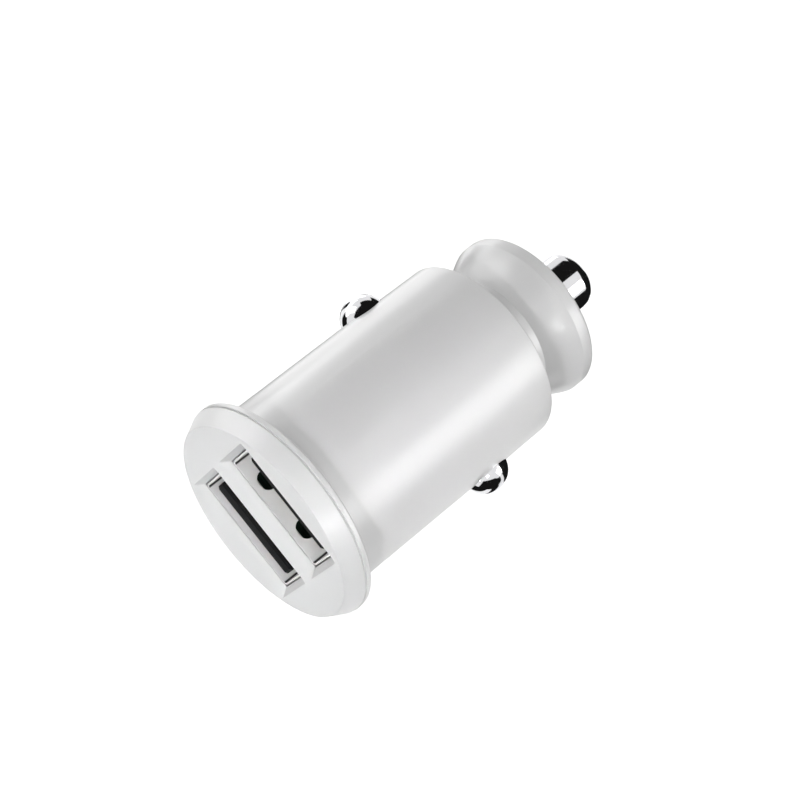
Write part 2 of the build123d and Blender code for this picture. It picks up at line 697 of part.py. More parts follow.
def make_capacitor():
    """Electrolytic can lying on the board's tail, with a crimp near its base and two bent leads."""
    axis_z = BOARD_TOP + CAPACITOR_R + SEAT_GAP
    rear = BOARD_END - PRONG_LENGTH - SEAT_GAP
    front = rear - CAPACITOR_LENGTH
    crimp_y = front + CAPACITOR_CRIMP_SETBACK
    section = outline(
        (0, front),
        (CAPACITOR_R, front),
        (CAPACITOR_R, crimp_y - CAPACITOR_CRIMP),
        (CAPACITOR_R - CAPACITOR_CRIMP, crimp_y),
        (CAPACITOR_R, crimp_y + CAPACITOR_CRIMP),
        (CAPACITOR_R, rear),
        (0, rear),
    )
    section = rounded(section, CAPACITOR_CRIMP, (CAPACITOR_R, front), (CAPACITOR_R, rear))
    can = Pos(0, 0, axis_z) * revolve(section, Axis.Y)
    half = CAPACITOR_LEAD / 2
    bend = front - CAPACITOR_LEAD_REACH
    for side in (-1, 1):
        x = side * CAPACITOR_LEAD_SPACING / 2
        can += block(x - half, x + half, bend, front, axis_z - half, axis_z + half)
        can += block(x - half, x + half, bend, bend + CAPACITOR_LEAD, BOARD_TOP, axis_z + half)
    return can


def build():
    """All the pieces by name."""
    side_contact = make_side_contact()
    side_spring = make_side_spring()
    ground_plate = make_ground_plate()
    shell = make_shell()
    tongue = make_tongue()
    capacitor = make_capacitor()
    half_turn = Rot(0, 180, 0)
    parts = {
        "barrel": make_barrel(),
        "front_bezel": make_bezel(),
        "tail_cap": make_tail_cap(),
        "tip_pin": make_tip(),
        "tip_spring": make_tip_spring(),
        "positive_contact": make_positive_contact(),
        "side_contact_right": side_contact,
        "side_contact_left": half_turn * side_contact,
        "side_spring_right": side_spring,
        "side_spring_left": half_turn * side_spring,
        "ground_plate_right": ground_plate,
        "ground_plate_left": half_turn * ground_plate,
        "port_shell_upper": shell,
        "port_shell_lower": mirrored(shell),
        "port_tongue_upper": tongue,
        "port_tongue_lower": mirrored(tongue),
        "circuit_board": make_board(),
        "inductor": make_inductor(),
        "controller_chip": make_chip(),
        "rectifier_diode": make_diode(),
        "chip_fuse": end_capped(FUSE_LENGTH, FUSE_WIDTH, FUSE_HEIGHT, FUSE_SETBACK - BOARD_HALF),
        "input_capacitor": capacitor,
        "output_capacitor": mirrored(capacitor),
    }
    for number, x in enumerate(RESISTOR_PLACES, start=1):
        resistor = end_capped(RESISTOR_LENGTH, RESISTOR_WIDTH, RESISTOR_HEIGHT, x)
        parts[f"chip_resistor_{number}"] = resistor
    for number, (x, setback) in enumerate(zip(CONTACT_PLACES, CONTACT_SETBACKS), start=1):
        contact = make_contact(x, setback)
        parts[f"port_contact_upper_{number}"] = contact
        parts[f"port_contact_lower_{number}"] = mirrored(contact)
    return parts


os.makedirs("parts", exist_ok=True)
for name, piece in build().items():
    export_step(piece, f"parts/{name}.step")
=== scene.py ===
"""Looks of a car charger plug with two stacked charging ports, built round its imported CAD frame.

The plug's axis is +Y, from the port face to the sprung tip. X runs along the port slots and +Z is up.
Sizes are written in millimetres and become metres where a mesh is made.
"""

import json
import logging
import math
from dataclasses import dataclass
from enum import Enum
from typing import Any, Sequence

import bmesh
import bpy
from mathutils import Matrix, Vector

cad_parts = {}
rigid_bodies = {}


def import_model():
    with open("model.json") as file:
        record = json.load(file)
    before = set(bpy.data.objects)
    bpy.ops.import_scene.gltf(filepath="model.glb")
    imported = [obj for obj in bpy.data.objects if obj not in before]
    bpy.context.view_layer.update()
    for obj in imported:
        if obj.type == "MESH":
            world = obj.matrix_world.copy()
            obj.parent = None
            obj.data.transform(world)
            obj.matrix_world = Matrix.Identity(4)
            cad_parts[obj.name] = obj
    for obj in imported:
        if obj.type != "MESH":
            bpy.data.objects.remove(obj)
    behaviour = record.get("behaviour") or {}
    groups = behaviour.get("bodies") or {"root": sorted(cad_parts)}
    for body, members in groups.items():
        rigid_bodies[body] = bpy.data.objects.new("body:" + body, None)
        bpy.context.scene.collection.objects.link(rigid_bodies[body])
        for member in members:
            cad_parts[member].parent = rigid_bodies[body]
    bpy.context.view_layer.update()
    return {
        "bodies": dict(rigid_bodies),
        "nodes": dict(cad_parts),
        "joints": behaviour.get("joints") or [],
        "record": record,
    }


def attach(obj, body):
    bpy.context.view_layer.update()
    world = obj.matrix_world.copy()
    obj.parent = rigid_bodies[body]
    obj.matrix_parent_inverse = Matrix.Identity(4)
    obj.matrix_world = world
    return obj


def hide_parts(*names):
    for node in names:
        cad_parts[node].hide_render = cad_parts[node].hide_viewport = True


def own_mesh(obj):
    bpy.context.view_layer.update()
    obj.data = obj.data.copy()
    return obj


LOG = logging.getLogger("charger_plug")
MM = 0.001
TINY = 1e-9
SIDES = (-1, 1)
TURN_SEGMENTS = 192
ROUND_STEPS = 5
# Air beside a piece that doesn't touch, and how far a cut or weld runs past a face.
CLEAR = 0.05
OVERLAP = 0.1
FINE_EDGE = 0.04
# Where most of a soft noise lies.
NOISE_SPAN = (0.3, 0.7)
SHARP_ANGLE = math.radians(38)
PLUG_AXIS = Matrix.Rotation(math.radians(-90), 4, "X")

Pair = tuple[float, float]
Triple = tuple[float, float, float]
Shape = bmesh.types.BMesh
Piece = bpy.types.Object
Socket = bpy.types.NodeSocket
Material = bpy.types.Material


class Body(Enum):
    """CAD bodies that the pieces ride on."""

    HOUSING = "housing"
    TIP = "tip"
    LEFT = "left_contact"
    RIGHT = "right_contact"


class Port(Enum):
    """The two charging ports, with the sign of their place along Z."""

    UPPER = 1
    LOWER = -1

    @property
    def label(self) -> str:
        """Word for this port in the names of its pieces."""
        return self.name.lower()


# Meshes


@dataclass(frozen=True)
class Corner:
    """One corner of a turned profile: its distance from the axis, its place along it and its rounding."""

    radius: float
    along: float
    blend: float = 0.0

    @property
    def point(self) -> Vector:
        """The corner as a flat vector."""
        return Vector((self.radius, self.along))


def fillet_points(before: Vector, here: Vector, after: Vector, blend: float) -> list[Vector]:
    """Arc that rounds one corner of a profile.

    Args:
        before: Point ahead of the corner.
        here: The corner itself.
        after: Point behind the corner.
        blend: Radius of the arc.

    Returns:
        Points of the arc, from the side of `before` to the side of `after`.
    """
    to_before = (before - here).normalized()
    to_after = (after - here).normalized()
    half = to_before.angle(to_after) / 2
    centre = here + (to_before + to_after).normalized() * (blend / math.sin(half))
    start = here + to_before * (blend / math.tan(half)) - centre
    turn = math.pi - 2 * half
    if to_before.x * to_after.y - to_before.y * to_after.x > 0:
        turn = -turn
    points = []
    for step in range(ROUND_STEPS + 1):
        angle = turn * step / ROUND_STEPS
        cosine, sine = math.cos(angle), math.sin(angle)
        points.append(centre + Vector((start.x * cosine - start.y * sine, start.x * sine + start.y * cosine)))
    return points


def profile_points(corners: Sequence[Corner], longest: float = 0.0) -> list[Vector]:
    """Closed profile through the corners.

    Args:
        corners: Corners in order round the profile.
        longest: Longest straight step, or 0 to leave straight runs whole.

    Returns:
        The profile's points.
    """
    rough: list[Vector] = []
    for index, corner in enumerate(corners):
        if corner.blend:
            after = corners[(index + 1) % len(corners)]
            rough += fillet_points(corners[index - 1].point, corner.point, after.point, corner.blend)
        else:
            rough.append(corner.point)
    if not longest:
        return rough
    points: list[Vector] = []
    for start, end in zip(rough, rough[1:] + rough[:1]):
        steps = max(1, math.ceil((end - start).length / longest))
        points += [start.lerp(end, step / steps) for step in range(steps)]
    return points


def arc_corners(start: Pair, middle: Pair, end: Pair, steps: int) -> list[Corner]:
    """Corners along the arc through three points, without its two ends.

    Args:
        start: First point, as radius and place along the axis.
        middle: A point on the arc.
        end: Last point.
        steps: Number of equal steps.

    Returns:
        The corners between the two ends.
    """
    (ax, ay), (bx, by), (cx, cy) = start, middle, end
    scale = 2 * (ax * (by - cy) + bx * (cy - ay) + cx * (ay - by))
    a2, b2, c2 = ax * ax + ay * ay, bx * bx + by * by, cx * cx + cy * cy
    centre_x = (a2 * (by - cy) + b2 * (cy - ay) + c2 * (ay - by)) / scale
    centre_y = (a2 * (cx - bx) + b2 * (ax - cx) + c2 * (bx - ax)) / scale
    radius = math.hypot(ax - centre_x, ay - centre_y)
    first = math.atan2(ay - centre_y, ax - centre_x)
    turn = math.remainder(math.atan2(cy - centre_y, cx - centre_x) - first, math.tau)
    angles = [first + turn * step / steps for step in range(1, steps)]
    return [Corner(centre_x + radius * math.cos(a), centre_y + radius * math.sin(a)) for a in angles]


def bridge(shape: Shape, near: Sequence[Any], far: Sequence[Any]) -> None:
    """Faces between two rings of as many points.

    Args:
        shape: The bmesh that holds both rings.
        near: Points of one ring.
        far: Points of the other.
    """
    for step in range(len(near)):
        after = (step + 1) % len(near)
        shape.faces.new((near[step], near[after], far[after], far[step]))


def turned(points: Sequence[Vector], place: Matrix, segments: int = TURN_SEGMENTS) -> Shape:
    """Solid made by turning a closed profile about its axis.

    Args:
        points: Profile as distance from the axis and place along it.
        place: Puts the axis, which is Z to begin with, where it belongs.
        segments: Number of steps round the axis.

    Returns:
        The solid as a bmesh, in metres.
    """
    shape = bmesh.new()
    angles = [math.tau * step / segments for step in range(segments)]
    rings: list[list[bmesh.types.BMVert]] = []
    for point in points:
        radius, along = max(point.x, 0) * MM, point.y * MM
        spots = [(radius * math.cos(a), radius * math.sin(a), along) for a in angles]
        rings.append([shape.verts.new(spot) for spot in (spots if radius >= TINY else [(0, 0, along)])])
    for near, far in zip(rings, rings[1:] + rings[:1]):
        pole, ring = sorted((near, far), key=len)
        if len(pole) > 1:
            bridge(shape, near, far)
        elif len(ring) > 1 and abs(pole[0].co.z - ring[0].co.z) < TINY:
            shape.faces.new(ring)
        elif len(ring) > 1:
            for step in range(segments):
                shape.faces.new((pole[0], ring[step], ring[(step + 1) % segments]))
    loose = [vert for vert in shape.verts if not vert.link_faces]
    bmesh.ops.delete(shape, geom=loose, context="VERTS")
    shape.transform(place)
    bmesh.ops.recalc_face_normals(shape, faces=shape.faces)
    return shape


def rounded_rectangle(width: float, height: float, radius: float) -> list[Pair]:
    """Outline of a rectangle with round corners, in order round its centre.

    Args:
        width: Size along X.
        height: Size along Z.
        radius: Corner radius.

    Returns:
        Points of the outline, as x and z.
    """
    points: list[Pair] = []
    for quarter, (side, rise) in enumerate(((1, 1), (-1, 1), (-1, -1), (1, -1))):
        centre = side * (width / 2 - radius), rise * (height / 2 - radius)
        for step in range(ROUND_STEPS + 1):
            angle = math.pi / 2 * (quarter + step / ROUND_STEPS)
            points.append((centre[0] + radius * math.cos(angle), centre[1] + radius * math.sin(angle)))
    return points


@dataclass(frozen=True)
class Section:
    """Rounded rectangle across the plug's axis, at one place along it."""

    along: float
    width: float
    height: float
    radius: float


def lofted(sections: Sequence[Section], z: float, closed: bool = False) -> Shape:
    """Solid through rounded rectangles along the plug's axis.

    Args:
        sections: The rectangles in order.
        z: Height of their common centre line.
        closed: True joins the last section to the first, for a tube; False caps the two ends.

    Returns:
        The solid as a bmesh, in metres.
    """
    shape = bmesh.new()
    rings = []
    for section in sections:
        corners = rounded_rectangle(section.width, section.height, section.radius)
        rings.append([shape.verts.new((x * MM, section.along * MM, (z + rise) * MM)) for x, rise in corners])
    if closed:
        rings.append(rings[0])
    else:
        shape.faces.new(rings[0])
        shape.faces.new(rings[-1])
    for near, far in zip(rings, rings[1:]):
        bridge(shape, near, far)
    bmesh.ops.recalc_face_normals(shape, faces=shape.faces)
    return shape


def across(along: float, sign: int) -> Matrix:
    """Lays a Z axis across the plug, pointing out of one side.

    Args:
        along: Where it crosses the plug's axis, in millimetres.
        sign: 1 for +X, -1 for -X.

    Returns:
        The placing.
    """
    return Matrix.Translation((0, along * MM, 0)) @ Matrix.Rotation(math.radians(90 * sign), 4, "Y")


def as_object(name: str, shape: Shape) -> Piece:
    """New object at the origin that holds the shape.

    Args:
        name: Name of the object and its mesh.
        shape: The bmesh, which is freed.

    Returns:
        The object, linked into the scene.
    """
    mesh = bpy.data.meshes.new(name)
    shape.to_mesh(mesh)
    shape.free()
    made = bpy.data.objects.new(name, mesh)
    bpy.context.scene.collection.objects.link(made)
    return made


def settle(piece: Piece) -> Piece:
    """Turns a piece's modifiers into its own plain mesh.

    Args:
        piece: Object with modifiers.

    Returns:
        The same object, with none.
    """
    bpy.context.view_layer.update()
    graph = bpy.context.evaluated_depsgraph_get()
    final = piece.evaluated_get(graph)
    mesh = bpy.data.meshes.new_from_object(final, preserve_all_data_layers=True, depsgraph=graph)
    piece.modifiers.clear()
    before = piece.data
    piece.data = mesh
    bpy.data.meshes.remove(before)
    mesh.name = piece.name
    return piece


class Joining(Enum):
    """How solids are combined with a piece."""

    CUT = "DIFFERENCE"
    WELD = "UNION"


def combine(piece: Piece, shapes: Sequence[Shape], how: Joining) -> None:
    """Takes solids out of a piece, or welds them to it.

    Args:
        piece: Object to change.
        shapes: The solids, which are freed.
        how: Whether they are cut away or added.
    """
    tools = [as_object(f"{piece.name}_tool_{number}", shape) for number, shape in enumerate(shapes)]
    for tool in tools:
        step = piece.modifiers.new(tool.name, "BOOLEAN")
        step.operation = how.value
        step.solver = "EXACT"
        step.object = tool
    settle(piece)
    for tool in tools:
        bpy.data.meshes.remove(tool.data)


def block(first: Triple, second: Triple) -> Shape:
    """Box between two opposite corners.

    Args:
        first: One corner in millimetres.
        second: The corner across from it.

    Returns:
        The box as a bmesh, in metres.
    """
    low = Vector([min(ends) for ends in zip(first, second)]) * MM
    high = Vector([max(ends) for ends in zip(first, second)]) * MM
    place = Matrix.Translation((low + high) / 2) @ Matrix.Diagonal((*(high - low), 1))
    shape = bmesh.new()
    bmesh.ops.create_cube(shape, size=1.0, matrix=place)
    return shape


def flipped(shape: Shape) -> Shape:
    """Turns a shape over to the other side of the board, with its faces outwards.

    Args:
        shape: The bmesh to turn over.

    Returns:
        The same bmesh.
    """
    shape.transform(Matrix.Scale(-1, 4, (0, 0, 1)))
    bmesh.ops.reverse_faces(shape, faces=shape.faces)
    return shape


def smooth(piece: Piece, edge: float = 0.0) -> None:
    """Rounds a piece's sharp edges a little, if asked, and shades it smooth with flat faces kept flat.

    Args:
        piece: Object to finish.
        edge: Width of the rounding in millimetres.
    """
    if edge:
        rounding = piece.modifiers.new("edges", "BEVEL")
        rounding.width = edge * MM
        rounding.segments = 2
        rounding.limit_method = "ANGLE"
        rounding.angle_limit = SHARP_ANGLE
        settle(piece)
    mesh = piece.data
    mesh.polygons.foreach_set("use_smooth", [True] * len(mesh.polygons))
    mesh.set_sharp_from_angle(angle=SHARP_ANGLE)
    even = piece.modifiers.new("even_normals", "WEIGHTED_NORMAL")
    even.keep_sharp = True
    settle(piece)


# Nodes


class Tree:
    """A node tree, with short calls that add nodes and join them."""

    UNIT = (0.0, 1.0)

    def __init__(self, tree: bpy.types.NodeTree) -> None:
        """Wraps a tree."""
        self.tree = tree

    def link(self, source: Socket, target: Socket) -> None:
        """Joins an output to an input."""
        self.tree.links.new(source, target)

    def fill(self, node: bpy.types.Node, inputs: dict[str | int, Any]) -> bpy.types.Node:
        """Gives a node its inputs: sockets are joined, and other values stand on the node itself.

        Args:
            node: The node.
            inputs: Values or sockets, by name or number.

        Returns:
            The same node.
        """
        for key, value in inputs.items():
            if isinstance(value, Socket):
                self.link(value, node.inputs[key])
            else:
                node.inputs[key].default_value = value
        return node

    def add(self, kind: str, inputs: dict[str | int, Any] | None = None, **settings: Any) -> bpy.types.Node:
        """Adds a node.

        Args:
            kind: Blender's name of the node type.
            inputs: Values or sockets for its inputs.
            settings: Properties of the node.

        Returns:
            The node.
        """
        node = self.tree.nodes.new(kind)
        for key, value in settings.items():
            setattr(node, key, value)
        return self.fill(node, inputs or {})

    def out(
        self, kind: str, inputs: dict[str | int, Any] | None = None, output: str | int = 0, **settings: Any
    ) -> Socket:
        """Adds a node for one of its outputs.

        Args:
            kind: Blender's name of the node type.
            inputs: Values or sockets for its inputs.
            output: Name or number of the output.
            settings: Properties of the node.

        Returns:
            The output.
        """
        return self.add(kind, inputs, **settings).outputs[output]

    def here(self) -> Socket:
        """Place of the shaded point, from the object's origin."""
        return self.out("ShaderNodeTexCoord", output="Object")

    def maths(self, operation: str, *terms: Socket | float) -> Socket:
        """Result of one step of arithmetic.

        Args:
            operation: Blender's name of the step.
            terms: What goes into it.

        Returns:
            The result.
        """
        return self.out("ShaderNodeMath", dict(enumerate(terms)), operation=operation)

    def remap(self, value: Socket, span: Pair, onto: Pair, **settings: Any) -> Socket:
        """Maps a value from one span onto another.

        Args:
            value: Socket to read.
            span: Low and high end of what is read.
            onto: What they become.
            settings: Properties of the node.

        Returns:
            The mapped value.
        """
        ends = {"From Min": span[0], "From Max": span[1], "To Min": onto[0], "To Max": onto[1]}
        return self.out("ShaderNodeMapRange", {"Value": value, **ends}, **settings)

    def mixed(self, share: Socket, low: Triple | Socket, high: Triple) -> Socket:
        """Colour between two others.

        Args:
            share: Socket that runs from 0 to 1.
            low: Colour at 0, or a socket with it.
            high: Colour at 1.

        Returns:
            The mixed colour.
        """
        node = self.add("ShaderNodeMix", {"Factor": share}, data_type="RGBA")
        first, second = (socket for socket in node.inputs if socket.type == "RGBA")
        if isinstance(low, Socket):
            self.link(low, first)
        else:
            first.default_value = (*low, 1)
        second.default_value = (*high, 1)
        return next(socket for socket in node.outputs if socket.type == "RGBA")

    def bumped(self, height: Socket, depth: float, strength: float) -> Socket:
        """Normal from a height.

        Args:
            height: Socket that runs from 0 to 1.
            depth: Depth of the relief in millimetres.
            strength: Share of the relief that shows.

        Returns:
            The normal.
        """
        return self.out("ShaderNodeBump", {"Height": height, "Distance": depth * MM, "Strength": strength})


def new_group(name: str, kind: str, inputs: dict[str, str], outputs: dict[str, str]) -> tuple[Tree, Any, Any]:
    """Empty node group with its sockets.

    Args:
        name: Name of the group.
        kind: Blender's name of the tree type.
        inputs: Types of the inputs, by name.
        outputs: Types of the outputs, by name.

    Returns:
        The group's tree, the sockets that it is given and the sockets that it fills.
    """
    group = bpy.data.node_groups.new(name, kind)
    for way, sockets in (("OUTPUT", outputs), ("INPUT", inputs)):
        for label, socket in sockets.items():
            group.interface.new_socket(label, in_out=way, socket_type=f"NodeSocket{socket}")
    tree = Tree(group)
    return tree, tree.add("NodeGroupInput").outputs, tree.add("NodeGroupOutput").inputs


class Growth:
    """Geometry Nodes trees: wire coils, bent strips in mirrored pairs, and rings of copies."""

    COIL_STEPS = 72
    WIRE_SIDES = 16
    BEND_STEPS = 6

    def __init__(self) -> None:
        """Makes the three trees."""
        self.coil = self.coil_tree()
        self.strip_pair = self.strip_pair_tree()
        self.ring = self.ring_tree()

    @staticmethod
    def start(name: str, inputs: dict[str, str]) -> tuple[Tree, Any, Any]:
        """Begins a tree.

        Args:
            name: Name of the tree.
            inputs: Types of its inputs by name, apart from the material.

        Returns:
            The tree, the sockets that it is given and the sockets that it fills.
        """
        inputs = {**inputs, "Material": "Material"}
        return new_group(name, "GeometryNodeTree", inputs, {"Geometry": "Geometry"})

    @staticmethod
    def end(tree: Tree, shape: Socket, given: Any, result: Any) -> bpy.types.NodeTree:
        """Ends a tree with real geometry and its material.

        Args:
            tree: The tree.
            shape: Socket with the finished geometry.
            given: The sockets that the tree is given.
            result: The sockets that it fills.

        Returns:
            The tree's data-block.
        """
        real = tree.out("GeometryNodeRealizeInstances", {"Geometry": shape})
        dressed = tree.out("GeometryNodeSetMaterial", {"Geometry": real, "Material": given["Material"]})
        tree.link(dressed, result["Geometry"])
        return tree.tree

    @staticmethod
    def swept(tree: Tree, line: Socket, section: Socket) -> Socket:
        """Solid along a line.

        Args:
            tree: The tree.
            line: Curve to follow.
            section: Closed curve across it.

        Returns:
            The solid.
        """
        inputs = {"Curve": line, "Profile Curve": section, "Fill Caps": True}
        return tree.out("GeometryNodeCurveToMesh", inputs)

    def coil_tree(self) -> bpy.types.NodeTree:
        """Round wire wound into a coil along Z.

        Returns:
            The tree.
        """
        floats = ("Coil Radius", "Wire Radius", "Turns", "Length")
        tree, given, result = self.start("wire_coil", dict.fromkeys(floats, "Float"))
        line = tree.out(
            "GeometryNodeCurveSpiral",
            {
                "Resolution": self.COIL_STEPS,
                "Rotations": given["Turns"],
                "Start Radius": given["Coil Radius"],
                "End Radius": given["Coil Radius"],
                "Height": given["Length"],
            },
        )
        sizes = {"Resolution": self.WIRE_SIDES, "Radius": given["Wire Radius"]}
        wire = tree.out("GeometryNodeCurvePrimitiveCircle", sizes)
        return self.end(tree, self.swept(tree, line, wire), given, result)

    def strip_pair_tree(self) -> bpy.types.NodeTree:
        """Sheet strip bent along a line, with its twin on the other side of X = 0.

        Returns:
            The tree.
        """
        floats = ("Width", "Sheet", "Bend Radius", "Spread")
        inputs = {"Line": "Geometry", **dict.fromkeys(floats, "Float")}
        tree, given, result = self.start("strip_pair", inputs)
        line = tree.out("GeometryNodeMeshToCurve", {"Mesh": given["Line"]})
        bends = {"Count": self.BEND_STEPS, "Radius": given["Bend Radius"], "Limit Radius": True}
        bent = tree.out("GeometryNodeFilletCurve", {"Curve": line, **bends}, mode="POLY")
        flat = tree.out("GeometryNodeSetCurveNormal", {"Curve": bent, "Normal": (1, 0, 0)}, mode="FREE")
        sizes = {"Width": given["Width"], "Height": given["Sheet"]}
        section = tree.out("GeometryNodeCurvePrimitiveQuadrilateral", sizes)
        strip = self.swept(tree, flat, section)
        right = tree.out("ShaderNodeCombineXYZ", {"X": given["Spread"]})
        left = tree.out("ShaderNodeVectorMath", {0: right, "Scale": -1.0}, operation="SCALE")
        ends = {"Count": 2, "Start Location": left, "Offset": right}
        places = tree.out("GeometryNodeMeshLine", ends, mode="END_POINTS")
        both = tree.out("GeometryNodeInstanceOnPoints", {"Points": places, "Instance": strip})
        return self.end(tree, both, given, result)

    def ring_tree(self) -> bpy.types.NodeTree:
        """Copies of a shape, turned evenly about the plug's axis.

        Returns:
            The tree.
        """
        tree, given, result = self.start("ring_of_copies", {"Shape": "Geometry", "Count": "Int"})
        points = tree.out("GeometryNodePoints", {"Count": given["Count"]})
        index = tree.out("GeometryNodeInputIndex")
        angle = tree.maths("MULTIPLY", index, tree.maths("DIVIDE", math.tau, given["Count"]))
        euler = tree.out("ShaderNodeCombineXYZ", {"Y": angle})
        turn = tree.out("FunctionNodeEulerToRotation", {"Euler": euler})
        inputs = {"Points": points, "Instance": given["Shape"], "Rotation": turn}
        return self.end(tree, tree.out("GeometryNodeInstanceOnPoints", inputs), given, result)

    @staticmethod
    def grow(name: str, tree: bpy.types.NodeTree, values: dict[str, Any], seed: Shape | None = None) -> Piece:
        """Makes a plain mesh with a tree.

        Args:
            name: Name of the new piece.
            tree: Which tree.
            values: Its inputs by name, with lengths in metres.
            seed: Geometry that the tree starts from, if any.

        Returns:
            The piece, with no modifier left.
        """
        piece = as_object(name, seed or bmesh.new())
        grown = piece.modifiers.new("growth", "NODES")
        grown.node_group = tree
        for item in tree.interface.items_tree:
            if item.item_type == "SOCKET" and item.in_out == "INPUT" and item.name in values:
                grown[item.identifier] = values[item.name]
        return settle(piece)


class Effect(Enum):
    """Shared surface effects, each one shader node group."""

    SKIN = "moulded_skin"
    MARKS = "handling_marks"
    DRAWN = "drawn_lines"


class Effects:
    """The shared effects as node groups, each made once."""

    SCRATCH_TURNS = ((0.4, 0.3, 0.9), (-0.7, 0.2, 2.1))
    SCRATCH_STRETCH = (1.0, 0.03, 1.0)
    SCRATCH_SPAN = (0.66, 0.74)

    def __init__(self) -> None:
        """Makes the three groups."""
        self.groups = {
            Effect.SKIN: self.moulded_skin(),
            Effect.MARKS: self.handling_marks(),
            Effect.DRAWN: self.drawn_lines(),
        }

    @staticmethod
    def start(effect: Effect, inputs: Sequence[str], outputs: Sequence[str]) -> tuple[Tree, Any, Any]:
        """Begins a group.

        Args:
            effect: Which effect it holds.
            inputs: Names of its inputs.
            outputs: Names of its outputs.

        Returns:
            The group's tree, the sockets that it is given and the sockets that it fills.
        """
        given, filled = (dict.fromkeys(names, "Float") for names in (inputs, outputs))
        return new_group(effect.value, "ShaderNodeTree", given, filled)

    @staticmethod
    def noise(tree: Tree, where: Socket, scale: Socket, **values: float) -> Socket:
        """Soft noise from 0 to 1.

        Args:
            tree: The group's tree.
            where: Place to read it at.
            scale: How fine it is.
            values: Other inputs of the noise.

        Returns:
            The noise.
        """
        return tree.out("ShaderNodeTexNoise", {"Vector": where, "Scale": scale, **values}, "Fac")

    def moulded_skin(self) -> bpy.types.NodeTree:
        """Fine grain and slow clouding of a moulded or sintered surface.

        Returns:
            The group.
        """
        tree, given, result = self.start(Effect.SKIN, ("Grain Scale", "Cloud Scale"), ("Grain", "Cloud"))
        where = tree.here()
        grain = self.noise(tree, where, given["Grain Scale"], Detail=3.0, Roughness=0.55)
        cloud = self.noise(tree, where, given["Cloud Scale"], Detail=4.0, Roughness=0.6)
        tree.link(grain, result["Grain"])
        tree.link(cloud, result["Cloud"])
        return tree.tree

    def handling_marks(self) -> bpy.types.NodeTree:
        """Hairline scratches in two directions and faint smudges.

        Returns:
            The group.
        """
        names = ("Line Scale", "Smudge Scale")
        tree, given, result = self.start(Effect.MARKS, names, ("Scratches", "Smudges"))
        where = tree.here()
        lines = []
        for turn in self.SCRATCH_TURNS:
            inputs = {"Vector": where, "Rotation": turn, "Scale": self.SCRATCH_STRETCH}
            lie = tree.out("ShaderNodeMapping", inputs)
            line = self.noise(tree, lie, given["Line Scale"], Detail=2.0)
            lines.append(tree.remap(line, self.SCRATCH_SPAN, tree.UNIT))
        smudges = self.noise(tree, where, given["Smudge Scale"], Detail=5.0, Distortion=0.6)
        tree.link(tree.maths("MAXIMUM", *lines), result["Scratches"])
        tree.link(smudges, result["Smudges"])
        return tree.tree

    def drawn_lines(self) -> bpy.types.NodeTree:
        """Fine lines that drawing or rolling leaves, long along Y.

        Returns:
            The group.
        """
        names = ("Line Scale", "Stretch", "Tarnish Scale")
        tree, given, result = self.start(Effect.DRAWN, names, ("Lines", "Tarnish"))
        where = tree.here()
        stretch = tree.out("ShaderNodeCombineXYZ", {"X": 1.0, "Y": given["Stretch"], "Z": 1.0})
        lie = tree.out("ShaderNodeMapping", {"Vector": where, "Scale": stretch})
        lines = self.noise(tree, lie, given["Line Scale"], Detail=3.0)
        tarnish = self.noise(tree, where, given["Tarnish Scale"], Detail=4.0)
        tree.link(lines, result["Lines"])
        tree.link(tarnish, result["Tarnish"])
        return tree.tree

    def place(self, tree: Tree, effect: Effect, values: dict[str | int, Any]) -> bpy.types.NodeOutputs:
        """Puts an effect into a material.

        Args:
            tree: The material's tree.
            effect: Which effect.
            values: Values of the group's inputs for this material.

        Returns:
            The group node's outputs.
        """
        return tree.add("ShaderNodeGroup", values, node_tree=self.groups[effect]).outputs


# Finishes


@dataclass(frozen=True)
class Finish:
    """One finish: the record's slot that it dresses, its two ends of colour and its gloss."""

    slot: str
    colour: Triple
    second: Triple
    roughness: Pair

    def material(self, effects: Effects) -> Material:
        """Builds the material.

        Args:
            effects: The shared effects.

        Returns:
            The material.
        """
        material = bpy.data.materials.new(self.slot)
        material.use_nodes = True
        tree = Tree(material.node_tree)
        tree.fill(material.node_tree.nodes["Principled BSDF"], self.surface(tree, effects))
        return material

    def surface(self, tree: Tree, effects: Effects) -> dict[str | int, Any]:
        """What the main shader is given.

        Args:
            tree: The material's tree.
            effects: The shared effects.

        Returns:
            Plain values and sockets, by the names of the shader's inputs.
        """
        raise NotImplementedError


@dataclass(frozen=True)
class MouldedFinish(Finish):
    """Moulded plastic, ferrite or ceramic: fine grain and slow clouding."""

    grain_scale: float = 9000.0
    cloud_scale: float = 220.0
    grain_depth: float = 0.004
    specular: float = 0.5
    relief: float = 0.35

    def surface(self, tree: Tree, effects: Effects) -> dict[str | int, Any]:
        """Clouding in the colour and the gloss, grain in the relief.

        Args:
            tree: The material's tree.
            effects: The shared effects.

        Returns:
            Plain values and sockets, by the names of the shader's inputs.
        """
        scales = {"Grain Scale": self.grain_scale, "Cloud Scale": self.cloud_scale}
        skin = effects.place(tree, Effect.SKIN, scales)
        return {
            "Specular IOR Level": self.specular,
            "Base Color": tree.mixed(skin["Cloud"], self.colour, self.second),
            "Roughness": tree.remap(skin["Cloud"], NOISE_SPAN, self.roughness),
            "Normal": tree.bumped(skin["Grain"], self.grain_depth, self.relief),
        }


